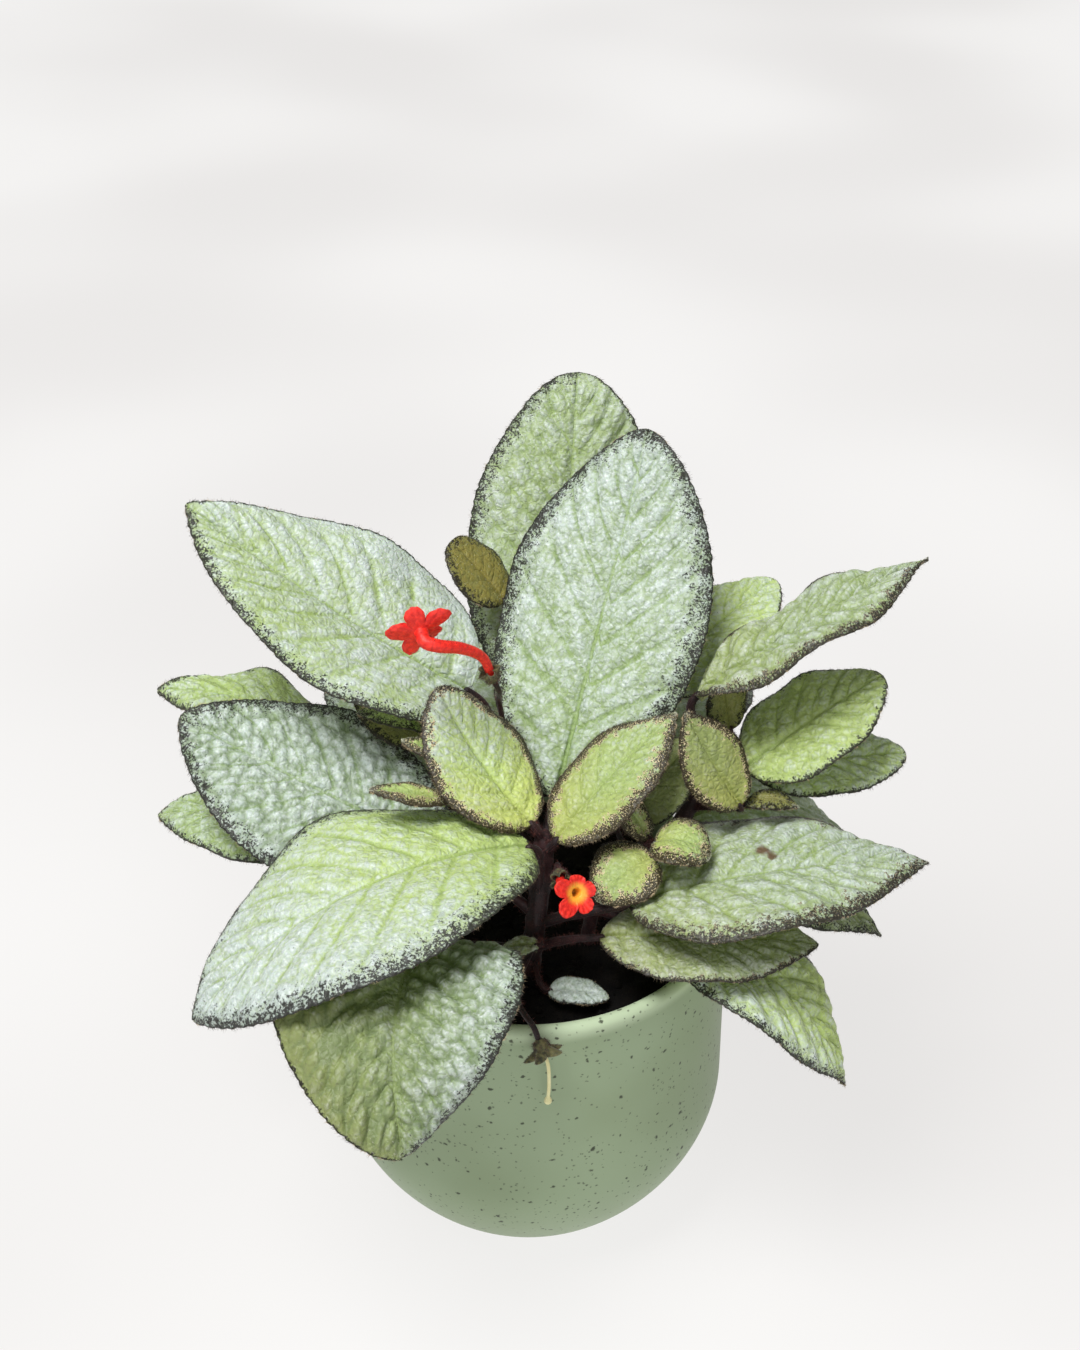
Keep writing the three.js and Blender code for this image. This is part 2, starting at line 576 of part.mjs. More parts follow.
// The red flower: a curved tube that widens to its throat, then five round lobes spread flat. The rows of
// the limb's section are as in the calyx.
function corollaGeometry({ tube, lobes, reach, bend }) {
  const curve = new THREE.CatmullRomCurve3(tube.map(toVector));
  const rings = [];
  for (let k = 0; k <= TUBE_STEPS; k += 1) {
    const s = k / TUBE_STEPS;
    const radius = mix(TUBE_RADIUS, THROAT_RADIUS, s);
    rings.push(lobedRing(curve.getPointAt(s), frameOf(curve.getTangentAt(s)), 0, radius, 0, 1));
  }
  const mouth = curve.getPointAt(1);
  const frame = frameOf(curve.getTangentAt(1));
  const limb = [
    [0.9, 0.65 * lobes, 0.3, 0.5],
    [1.5, lobes, 0.42, 0.5],
    [2.3, 0.97 * lobes, 0.42, 0.5],
    [1.9, 0.6 * lobes, 0.28, 0.5],
    [1.0, 0.7 * THROAT_RADIUS, 0, 1],
    [-2.0, 0.4 * THROAT_RADIUS, 0, 1],
  ];
  // Each row of the limb is stretched and bent lobe by lobe, in full at its outer edge.
  const shaped = ([along, radius, cleft, sharpness]) => {
    const out = (radius / lobes) ** 2;
    const ring = lobedRing(mouth, frame, along, radius, cleft, sharpness);
    return ring.map((point, j) => {
      const stretch = mix(1, betweenLobes(reach, j), out);
      const shifted = point.clone().sub(mouth).addScaledVector(frame.tangent, -along).multiplyScalar(stretch);
      return shifted.add(mouth).addScaledVector(frame.tangent, along + out * betweenLobes(bend, j));
    });
  };
  return skinned([...rings, ...limb.map(shaped)]);
}

// The calyx sits just behind the start of the tube or style, which stands in its cup.
function calyxPlace(flower) {
  const [first, second] = (flower.tube ?? flower.style).slice(0, 2).map(toVector);
  const direction = second.sub(first).normalize();
  return { place: first.addScaledVector(direction, -CALYX_DEPTH - GAP), direction };
}

// The stalk ends in line with its calyx, just behind it.
function flowerStalk(flower) {
  const { place, direction } = calyxPlace(flower);
  const end = place.addScaledVector(direction, -GAP);
  const before = end.clone().addScaledVector(direction, -2 * CALYX_DEPTH);
  const start = stemCurve(flower.stem).getPointAt(flower.joint);
  const curve = new THREE.CatmullRomCurve3([start, ...flower.stalk.map(toVector), before, end]);
  return roundTube(curve, FLOWER_STALK_RADIUS, STALK_SIDES, FLOWER_STALK_STEPS);
}

// A thin thread with a round knob at its end.
function styleSolid(points) {
  const curve = new THREE.CatmullRomCurve3(points.map(toVector));
  const thread = roundTube(curve, STYLE_RADIUS, STALK_SIDES, FLOWER_STALK_STEPS);
  const knob = new THREE.IcosahedronGeometry(STIGMA_RADIUS, 1);
  knob.translate(...points[points.length - 1]);
  return thread.add(solidOf(knob));
}

// Assembly

const plant = new THREE.Group();
plant.add(piece('pot', geometryOf(potSolid()), 'glaze'));
plant.add(piece('soil', geometryOf(drilledSoil()), 'soil'));
for (const name of Object.keys(STEMS)) {
  plant.add(piece(`stem_${name}`, geometryOf(stemSolid(name)), 'stem'));
}
for (const row of LEAVES) {
  const leaf = { ...LEAF_DEFAULTS, ...row };
  plant.add(piece(leaf.name, bladeGeometry(leaf), leaf.colour));
}
for (const [name, flower] of Object.entries(FLOWERS)) {
  const { place, direction } = calyxPlace(flower);
  plant.add(piece(`calyx_${name}`, calyxGeometry(place, direction, flower.spread), 'calyx'));
  if (flower.tube) {
    plant.add(piece(`flower_${name}`, corollaGeometry(flower), 'flower'));
  } else {
    plant.add(piece(`style_${name}`, geometryOf(styleSolid(flower.style)), 'style'));
  }
}

export default plant;
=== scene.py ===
import json
import math
import bpy
import numpy as np
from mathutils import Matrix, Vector


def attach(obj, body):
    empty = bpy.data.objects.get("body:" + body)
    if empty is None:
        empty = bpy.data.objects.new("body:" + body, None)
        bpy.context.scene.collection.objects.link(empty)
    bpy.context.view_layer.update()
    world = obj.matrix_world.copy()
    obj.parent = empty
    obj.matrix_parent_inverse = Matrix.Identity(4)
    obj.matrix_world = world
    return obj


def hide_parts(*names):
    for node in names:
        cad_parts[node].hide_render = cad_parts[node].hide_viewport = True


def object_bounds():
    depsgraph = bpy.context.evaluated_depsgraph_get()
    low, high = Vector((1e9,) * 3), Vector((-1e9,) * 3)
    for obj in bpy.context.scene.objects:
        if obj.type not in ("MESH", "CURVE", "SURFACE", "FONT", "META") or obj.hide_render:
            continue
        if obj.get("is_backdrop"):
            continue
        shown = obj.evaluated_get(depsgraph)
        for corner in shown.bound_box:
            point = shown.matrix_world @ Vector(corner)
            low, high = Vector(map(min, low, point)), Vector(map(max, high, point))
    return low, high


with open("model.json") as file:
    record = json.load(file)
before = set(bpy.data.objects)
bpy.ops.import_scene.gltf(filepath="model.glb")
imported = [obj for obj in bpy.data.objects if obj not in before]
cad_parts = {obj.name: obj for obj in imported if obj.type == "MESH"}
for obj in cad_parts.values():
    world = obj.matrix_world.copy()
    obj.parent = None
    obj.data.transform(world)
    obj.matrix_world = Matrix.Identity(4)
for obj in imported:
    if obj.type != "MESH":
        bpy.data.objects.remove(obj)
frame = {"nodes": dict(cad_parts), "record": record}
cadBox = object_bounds()
print("frame loaded:", len(frame["nodes"]), "nodes")

# Shapes are worked out in millimetres, in the frame's own axes, and written into the meshes in metres.
mm = 0.001


# Surfaces

# Every vector gets length 1: it is divided by its own length.
def unit(vectors):
    return vectors / np.maximum(np.linalg.norm(vectors, axis=-1, keepdims=True), 1e-9)


# Smooth step: 0 below low, 1 above high, and a soft S between.
def ease(value, low, high):
    s = np.clip((value - low) / (high - low), 0, 1)
    return s * s * (3 - 2 * s)


# The angles of so many points round a full turn.
def fullTurn(sides):
    return np.linspace(0, 2 * np.pi, sides, endpoint=False)


# Quads between the neighbours of a grid of points; a closed grid joins its last column to its first.
def gridQuads(rows, columns, closed=False, flipped=False):
    i, j = np.meshgrid(np.arange(rows - 1), np.arange(columns if closed else columns - 1), indexing="ij")
    k = (j + 1) % columns
    quads = np.stack([i * columns + j, i * columns + k, (i + 1) * columns + k, (i + 1) * columns + j], -1)
    quads = quads.reshape(-1, 4)
    return quads[:, ::-1] if flipped else quads


# The two patterns below repeat after this many cells.
tableSize = 64


# Smooth noise from 0 to 1: random heights on a square lattice, eased between its corners.
def softNoise(x, y, cell, seed):
    table = np.random.default_rng(seed).random((tableSize, tableSize))
    px, py = x / cell, y / cell
    i, j = np.floor(px).astype(int), np.floor(py).astype(int)
    fx, fy = ease(px - i, 0, 1), ease(py - j, 0, 1)
    corner = lambda a, b: table[(i + a) % tableSize, (j + b) % tableSize]
    low = corner(0, 0) * (1 - fx) + corner(1, 0) * fx
    high = corner(0, 1) * (1 - fx) + corner(1, 1) * fx
    return low * (1 - fy) + high * fy


# Irregular cells round scattered seeds: the distances to the nearest seed and to the next, in cells.
def pebbleCells(x, y, cell, seed):
    table = np.random.default_rng(seed).random((tableSize, tableSize, 2))
    px, py = x / cell, y / cell
    i, j = np.floor(px).astype(int), np.floor(py).astype(int)
    near = np.full(px.shape, 9.0)  # further than any seed
    second = near.copy()
    for di in (-1, 0, 1):
        for dj in (-1, 0, 1):
            seeds = table[(i + di) % tableSize, (j + dj) % tableSize]
            far = np.hypot(i + di + seeds[..., 0] - px, j + dj + seeds[..., 1] - py)
            second = np.minimum(second, np.maximum(near, far))
            near = np.minimum(near, far)
    return near, second


# Puts a mesh, a lamp or a camera into the scene under a name.
def addObject(name, data):
    made = bpy.data.objects.new(name, data)
    bpy.context.scene.collection.objects.link(made)
    return made


# Gathers surfaces into one mesh, each with its material's number and with vectors for its points.
class Shape:
    def __init__(self):
        self.points, self.quads, self.triangles, self.vectors, self.count = [], [], [], [], 0

    # paint is the faces' material number, or one for each face
    def add(self, points, quads=None, triangles=None, paint=0, **vectors):
        points = np.asarray(points, float).reshape(-1, 3)
        for faces, kept in ((quads, self.quads), (triangles, self.triangles)):
            if faces is not None and len(faces):
                kept.append((np.asarray(faces) + self.count, np.broadcast_to(paint, len(faces))))
        self.points.append(points)
        self.vectors.append((len(points), vectors))
        self.count += len(points)

    # makes the mesh and its object, which rides on the body and stands for the nodes replaced
    def build(self, name, paints, slot, *replaced):
        mesh = bpy.data.meshes.new(name)
        points = np.concatenate(self.points) * mm
        mesh.vertices.add(len(points))
        mesh.vertices.foreach_set("co", points.ravel().astype(np.float32))
        faces = [(f, p) for group in (self.quads, self.triangles) for f, p in group]
        corners = np.concatenate([f.ravel() for f, p in faces])
        sides = np.concatenate([np.full(len(f), f.shape[1]) for f, p in faces])
        mesh.loops.add(len(corners))
        mesh.loops.foreach_set("vertex_index", corners.astype(np.int32))
        mesh.polygons.add(len(sides))
        starts = np.concatenate([[0], np.cumsum(sides)[:-1]])
        mesh.polygons.foreach_set("loop_start", starts.astype(np.int32))
        mesh.polygons.foreach_set("material_index", np.concatenate([p for f, p in faces]).astype(np.int32))
        for paint in paints:
            mesh.materials.append(paint)
        for key in sorted({k for n, vectors in self.vectors for k in vectors}):
            rows = [np.broadcast_to(vectors.get(key, 0.0), (n, 3)) for n, vectors in self.vectors]
            made = mesh.attributes.new(key, "FLOAT_VECTOR", "POINT")
            made.data.foreach_set("vector", np.concatenate(rows).ravel().astype(np.float32))
        mesh.update(calc_edges=True)
        mesh.shade_smooth()
        piece = addObject(name, mesh)
        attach(piece, "root")
        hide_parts(*replaced)


# The smooth curve through a list of points (centripetal Catmull-Rom), in even steps along its length: between
# two points it is a cubic of s, worked out in spanSteps places.
spanSteps = 40


def curveThrough(points, steps):
    p = np.array(points, float)
    p = np.vstack([2 * p[0] - p[1], p, 2 * p[-1] - p[-2]])
    a, b, c, d = (p[k:len(p) - 3 + k, None] for k in range(4))
    ab, bc, cd = (np.linalg.norm(q - r, axis=-1, keepdims=True) ** 0.5 for q, r in ((b, a), (c, b), (d, c)))
    t1 = ((b - a) / ab - (c - a) / (ab + bc) + (c - b) / bc) * bc
    t2 = ((c - b) / bc - (d - b) / (bc + cd) + (d - c) / cd) * bc
    s = np.linspace(0, 1, spanSteps)[None, :, None]
    fine = b + t1 * s + (3 * (c - b) - 2 * t1 - t2) * s ** 2 + (2 * (b - c) + t1 + t2) * s ** 3
    return evenSteps(fine.reshape(-1, 3), steps)


# A cubic Bezier curve from a to d, drawn towards b and c on its way.
def bezier(a, b, c, d, places):
    s = np.linspace(0, 1, places)[:, None]
    return (1 - s) ** 3 * a + 3 * (1 - s) ** 2 * s * b + 3 * (1 - s) * s ** 2 * c + s ** 3 * d


# Points at even distances along a fine path.
def evenSteps(fine, steps):
    gone = np.concatenate([[0], np.cumsum(np.linalg.norm(np.diff(fine, axis=0), axis=1))])
    place = np.linspace(0, gone[-1], steps + 1)
    return np.stack([np.interp(place, gone, fine[:, k]) for k in range(3)], -1)


# Closes a stack of rings into a skin: triangles run from each end ring to a pole, by default in its middle.
# spread gives every point a vector for the paint.
def addSkin(shape, rings, poles=None, spread=None):
    count, sides = rings.shape[:2]
    points = np.vstack([rings.reshape(-1, 3), *(poles or (rings[0].mean(0), rings[-1].mean(0)))])
    j = np.arange(sides)
    k = (j + 1) % sides
    last = (count - 1) * sides
    ends = np.vstack([
        np.stack([k, j, np.full(sides, count * sides)], -1),
        np.stack([last + j, last + k, np.full(sides, count * sides + 1)], -1),
    ])
    vectors = {}
    if spread is not None:
        vectors["spread"] = np.vstack([spread.reshape(-1, 3), spread[0].mean(0), spread[-1].mean(0)])
    shape.add(points, gridQuads(count, sides, closed=True), ends, **vectors)


# Rings carried along a path, square to it: centre plus radius times a turning direction. Three rings at the
# angles of lean round each end off. swell(s, a) scales each point by its share s of the path and its turn a.
def addTube(shape, path, radius, sides, swell=None):
    path = np.asarray(path, float)
    radius = np.broadcast_to(radius, len(path)).astype(float)
    tangent = unit(np.gradient(path, axis=0))
    lean = np.radians([78, 50, 22])
    back = path[0] - tangent[0] * radius[0] * np.sin(lean)[:, None]
    front = path[-1] + tangent[-1] * radius[-1] * np.sin(lean)[::-1, None]
    path = np.vstack([back, path, front])
    tangent = np.vstack([np.repeat(tangent[:1], 3, 0), tangent, np.repeat(tangent[-1:], 3, 0)])
    radius = np.concatenate([radius[0] * np.cos(lean), radius, radius[-1] * np.cos(lean)[::-1]])
    helper = np.eye(3)[np.argmin(np.abs(tangent.mean(0)))]
    normal = unit(np.cross(tangent, helper))
    binormal = np.cross(tangent, normal)
    turn = fullTurn(sides)[None, :, None]
    reach = radius[:, None, None]
    if swell:
        reach = reach * swell(np.linspace(0, 1, len(path))[:, None, None], turn)
    rings = path[:, None] + reach * (normal[:, None] * np.cos(turn) + binormal[:, None] * np.sin(turn))
    bulge = tangent[[0, -1]] * radius[[0, -1], None] * 0.2
    addSkin(shape, rings, poles=(path[0] - bulge[0], path[-1] + bulge[1]))
    return rings


# Hairs: a thin three-sided spike stands on each root, leaning along its direction.
def addHairs(shape, roots, directions, lengths, radius, paint):
    directions = unit(directions)
    helper = np.where(np.abs(directions[:, 2:]) < 0.8, [[0, 0, 1.0]], [[1.0, 0, 0]])
    side = unit(np.cross(directions, helper))
    other = np.cross(directions, side)
    turns = np.radians([0, 120, 240])
    base = [roots + radius * (np.cos(a) * side + np.sin(a) * other) for a in turns]
    points = np.stack([*base, roots + directions * lengths[:, None]], 1)
    start = 4 * np.arange(len(roots))[:, None]
    pattern = np.array([[0, 1, 3], [1, 2, 3], [2, 0, 3], [1, 0, 2]])
    shape.add(points, triangles=(start[:, None] + pattern[None]).reshape(-1, 3), paint=paint)


# Hairs that stand out from rings of points, all round them and anywhere between two of the rings. Each leaves
# the middle of its ring, turned a little its own way; slide starts it between its ring and the next.
def hairRings(shape, rings, between, count, lengths, rng, stray=0.3, radius=0.045, slide=False):
    row, column = rng.integers(*between, count), rng.integers(0, rings.shape[1], count)
    roots = rings[row, column]
    if slide:
        roots = roots + (rings[row + 1, column] - roots) * rng.random((count, 1))
    outward = unit(rings[row, column] - rings[row].mean(1)) + rng.normal(0, stray, (count, 3))
    addHairs(shape, roots - 0.05 * outward, outward, rng.uniform(*lengths, count), radius, 1)


# Shader maths

# Wraps a socket of a material, so that maths on it is written as a Python expression.
class Wire:
    def __init__(self, tree, socket=None):
        self.tree, self.socket = tree, socket

    # adds a node of any kind: its settings come first, then a value or a link for each input
    def node(self, kind, settings=None, inputs=None, output=0):
        made = self.tree.nodes.new(kind)
        for name, value in (settings or {}).items():
            setattr(made, name, value)
        for name, value in (inputs or {}).items():
            if isinstance(value, Wire):
                self.tree.links.new(value.socket, made.inputs[name])
            else:
                made.inputs[name].default_value = value
        return Wire(self.tree, made.outputs[output] if made.outputs else None)

    def maths(self, operation, first, second):
        return self.node("ShaderNodeMath", {"operation": operation}, {0: first, 1: second})

    def __add__(self, other):
        return self.maths("ADD", self, other)

    def __sub__(self, other):
        return self.maths("SUBTRACT", self, other)

    def __rsub__(self, other):
        return self.maths("SUBTRACT", other, self)

    def __mul__(self, other):
        return self.maths("MULTIPLY", self, other)

    def __truediv__(self, other):
        return self.maths("DIVIDE", self, other)

    __radd__ = __add__
    __rmul__ = __mul__

    # the larger of two values, at each place
    def larger(self, other):
        return self.maths("MAXIMUM", self, other)

    # held between 0 and 1
    def clamp(self):
        return self.node("ShaderNodeClamp", None, {0: self})

    # soft step from 0 at low to 1 at high
    def step(self, low, high):
        settings = {"interpolation_type": "SMOOTHSTEP"}
        return self.node("ShaderNodeMapRange", settings, {"Value": self, "From Min": low, "From Max": high})

    # the three numbers of a vector
    def split(self):
        return [self.node("ShaderNodeSeparateXYZ", None, {0: self}, axis) for axis in range(3)]

    # how far the value is from the nearest whole number
    def toWhole(self):
        return self.maths("PINGPONG", self, 0.5)


# A new material's empty tree, with the textures that the paints share. Its nodes are added as a wire's are.
class Paint(Wire):
    def __init__(self, name):
        self.material = bpy.data.materials.new(name)
        self.material.use_nodes = True
        super().__init__(self.material.node_tree)
        self.tree.nodes.clear()

    def attribute(self, name):
        return self.node("ShaderNodeAttribute", {"attribute_name": name}, output=1)

    def place(self):
        return self.node("ShaderNodeTexCoord", output=3)

    def noise(self, at, scale, detail=2.0, rough=0.5):
        inputs = {"Vector": at, "Scale": scale, "Detail": detail, "Roughness": rough}
        return self.node("ShaderNodeTexNoise", None, inputs)

    def cells(self, at, scale, feature="F1", output=0):
        inputs = {"Vector": at, "Scale": scale}
        return self.node("ShaderNodeTexVoronoi", {"feature": feature}, inputs, output)

    # colours laid over the first, each by its own mask; a name stands for a leaf colour
    def layers(self, skin, *overs):
        for mask, over in overs:
            under, over = (leafColours[tint] if isinstance(tint, str) else tint for tint in (skin, over))
            skin = self.node("ShaderNodeMix", {"data_type": "RGBA"}, {0: mask, 6: under, 7: over}, 2)
        return skin

    # the closing nodes: surface values, and a bump from a height in millimetres
    def finish(self, colour, height=None, **values):
        inputs = {"Base Color": colour}
        if height is not None:
            inputs["Normal"] = self.node("ShaderNodeBump", None, {"Height": height, "Distance": mm})
        for key, value in values.items():
            inputs[key.replace("_", " ").title().replace("Ior", "IOR")] = value
        body = self.node("ShaderNodeBsdfPrincipled", None, inputs)
        self.node("ShaderNodeOutputMaterial", None, {"Surface": body})
        return self.material


# A colour picked (0 to 255) as the renderer's light values.
def colour(red, green, blue):
    share = np.array([red, green, blue]) / 255
    light = np.where(share <= 0.04045, share / 12.92, ((share + 0.055) / 1.055) ** 2.4)
    return (*light.tolist(), 1.0)


# Leaf paints

leafColours = {
    "green": colour(134, 156, 104),
    "lime": colour(188, 209, 122),
    "silver": colour(189, 201, 195),
    # pale is the silver's own white, partly painted glints
    "pale": colour(242, 247, 246),
    "vein": colour(122, 150, 78),
    # fleck is also the colour of the painted shade in the pebbles' valleys
    "fleck": colour(92, 110, 76),
    "olive": colour(128, 112, 46),
    "base": colour(196, 188, 80),
    "border": colour(26, 20, 18),
    "borderWarm": colour(44, 28, 22),
    "fuzz": colour(206, 190, 150),
    "dry": colour(104, 86, 66),
    "under": colour(148, 156, 112),
    "underVein": colour(186, 190, 146),
}


# The patterns on the upper face: how many of each come to a millimetre, its detail and its roughness.
leafNoises = dict(cloud=(0.11, 2, 0.5), clump=(0.5, 2, 0.5), fleck=(0.8, 3, 0.62), grain=(0.95, 3, 0.6),
                  speck=(1.7, 3, 0.7), cream=(2.6, 2, 0.5))


# Side veins stand about this far apart, in mm.
veinGap = 12


# The upper face. Silver lies over green as a soft sheet that thins over the veins and between the pebbles,
# pale flecks, partly painted glints, and dark flecks break it up, painted shade darkens the valleys between
# the pebbles, and the margin is speckled dark. tone holds silver, warm and dark; form holds the pebbles'
# height, the distance to the midrib in mm and the veins' count; rim holds the distance to the margin in mm,
# the border's width and its fuzz; mark holds dry spots, how strong the veins' colour is and how dark the
# painted shade in the valleys is.
def leafTopPaint():
    p = Paint("leafTop")
    at, flow = p.attribute("pattern"), p.attribute("flow")
    silver, warm, dark = p.attribute("tone").split()
    pebble, midrib, veins = p.attribute("form").split()
    margin, border, fuzz = p.attribute("rim").split()
    spot, strength, depth = p.attribute("mark").split()
    cloud, clump, fleck, grain, speck, cream = (p.noise(at, *noise) for noise in leafNoises.values())
    streak = p.noise(flow, 0.4, 2, 0.55)
    net = p.cells(at, 0.55, "DISTANCE_TO_EDGE")
    # the side veins fade at the margin, the midrib towards the tip
    sideVein = (1 - (veins.toWhole() * veinGap).step(0.1, 1.2)) * margin.step(0.0, 12.0)
    midVein = (1 - midrib.step(0.3, 1.3)) * (1.1 - veins / 12)
    lines = (sideVein * (clump * 0.5 + 0.4)).larger(midVein) * strength
    valley = 1 - net.step(0.0, 0.2)
    shine = silver + (cloud - 0.5) * 0.8 + (pebble - 0.5) * 0.5 - lines * 0.7 - valley * 0.3
    shine = (shine + (streak - 0.5) * 0.6 + (clump - 0.5) * 0.5 + (grain - 0.5) * 0.4).step(-0.2, 1.2)
    # near is 1 at the margin and falls to 0 where the dark border ends
    near = (1 - margin / (border * 3.2 + 0.2)).larger(-1.0)
    # pale frost: the silver's fine white flecks, partly painted glints
    frostAndGlint = grain.step(0.46, 0.74) * (shine * 0.45 + 0.05) * (1 - near.clamp() * 0.7)
    # specks crowd towards the margin and close up at its very edge
    edge = (speck + near * (fuzz * 0.26 + 0.19) + (clump - 0.5) * (fuzz * 0.6 + 0.5)).step(0.55, 0.64)
    edge = edge.larger((1 - margin.step(0.1, 0.7)) * (border * 3).clamp())
    creamy = (cream - near * 0.2).step(0.43, 0.51) * fuzz
    skin = p.layers(
        "green",
        (warm, "lime"),
        (shine, "silver"),
        (lines * 0.55, "vein"),
        (fleck.step(0.48, 0.68) * (0.45 - warm * 0.2), "fleck"),
        (frostAndGlint, "pale"),
        ((1 - veins / 3.5).clamp() * fuzz * 0.4, "base"),
        (dark, "olive"),
        # painted shade: darker where the pebbles' valleys are deep
        ((1 - pebble).step(0.4, 1.0) * depth, "fleck"),
        (near.clamp() * 0.3, "fleck"),
        (edge * 0.94, p.layers("border", (fuzz, "borderWarm"), (creamy, "fuzz"))),
        (spot, "dry"),
    )
    height = grain * 0.16 + net.step(0.0, 0.3) * 0.16 + streak * 0.15 - lines * 0.3
    return p.finish(skin, height, roughness=0.45, specular_ior_level=0.35,
                    subsurface_weight=0.06, subsurface_scale=0.0015, subsurface_radius=(0.6, 1.0, 0.3))


# The lower face: pale olive with raised lighter veins and a dark edge.
def leafUnderPaint():
    p = Paint("leafUnder")
    at = p.attribute("pattern")
    warm, dark = p.attribute("tone").split()[1:]
    midrib, veins = p.attribute("form").split()[1:]
    margin = p.attribute("rim").split()[0]
    net = p.cells(at, 0.35, "DISTANCE_TO_EDGE")
    grain = p.noise(at, 1.2, 3, 0.6)
    lines = (1 - (veins.toWhole() * veinGap).step(0.2, 0.9)).larger(1 - midrib.step(0.4, 1.4))
    lines = lines.larger((1 - net.step(0.02, 0.12)) * 0.5)
    rim = 1 - (margin + (grain - 0.5) * 4).step(0.2, 2.2)
    skin = p.layers(
        "under",
        (grain.step(0.35, 0.7) * 0.5, "fleck"),
        (lines * 0.7, "underVein"),
        (warm * 0.6, "lime"),
        (dark, "olive"),
        (rim * 0.85, "borderWarm"),
    )
    height = lines * 0.2 + grain * 0.15
    return p.finish(skin, height, roughness=0.6, specular_ior_level=0.3, sheen_weight=0.15)


# Hairs are pale on the leaves' faces, brown and cream along their margins and reddish on the stems. A noise
# gives some of them the tip's colour.
def hairPaint(name, hairColour, tipColour):
    p = Paint(name)
    tint = p.noise(p.place(), 420, 2)
    return p.finish(p.layers(hairColour, (tint.step(0.47, 0.66), tipColour)), roughness=0.5)


leafTop, leafUnder = leafTopPaint(), leafUnderPaint()
paleHair = hairPaint("paleHair", colour(206, 212, 178), colour(240, 240, 222))
rimHair = hairPaint("rimHair", colour(52, 36, 30), colour(196, 176, 142))
redHair = hairPaint("redHair", colour(70, 34, 34), colour(132, 78, 70))
print("leaf paints ready")


# Leaves

# What a leaf may change. sweep turns the midrib's heading; fold, curl and roll tilt the halves, in degrees;
# peak and point shape the outline, and bow lifts the stalk. silver is the sheen at the base and the tip, and
# what it gains to the right; warm leads from grey green to lime; dark is an olive tint, and what it gains to
# the right. On a few leaves silver and warm partly paint light, and dark partly paints shade. border is the
# dark margin's width at the left and right, fuzz its brown and cream, and lines the veins' colour. relief,
# quilt and wave scale all relief, the pillows and the margin's waves, and relief also the painted shade in
# the valleys; sweptCells turns the pebbles along the veins, and cell, if given, is their size in mm. hairs
# multiplies the hairs. A dry spot has its share of the length, its place across and its radius in mm.
leafDefaults = dict(sweep=0, fold=12, curl=22, roll=0, peak=0.45, point=0.95, bow=0.08,
                    silver=(0.55, 0.75, 0), warm=0.25, dark=(0, 0), border=(1, 1), fuzz=0, lines=0.7,
                    relief=1, quilt=1, wave=1, sweptCells=0.65, hairs=1, spots=())
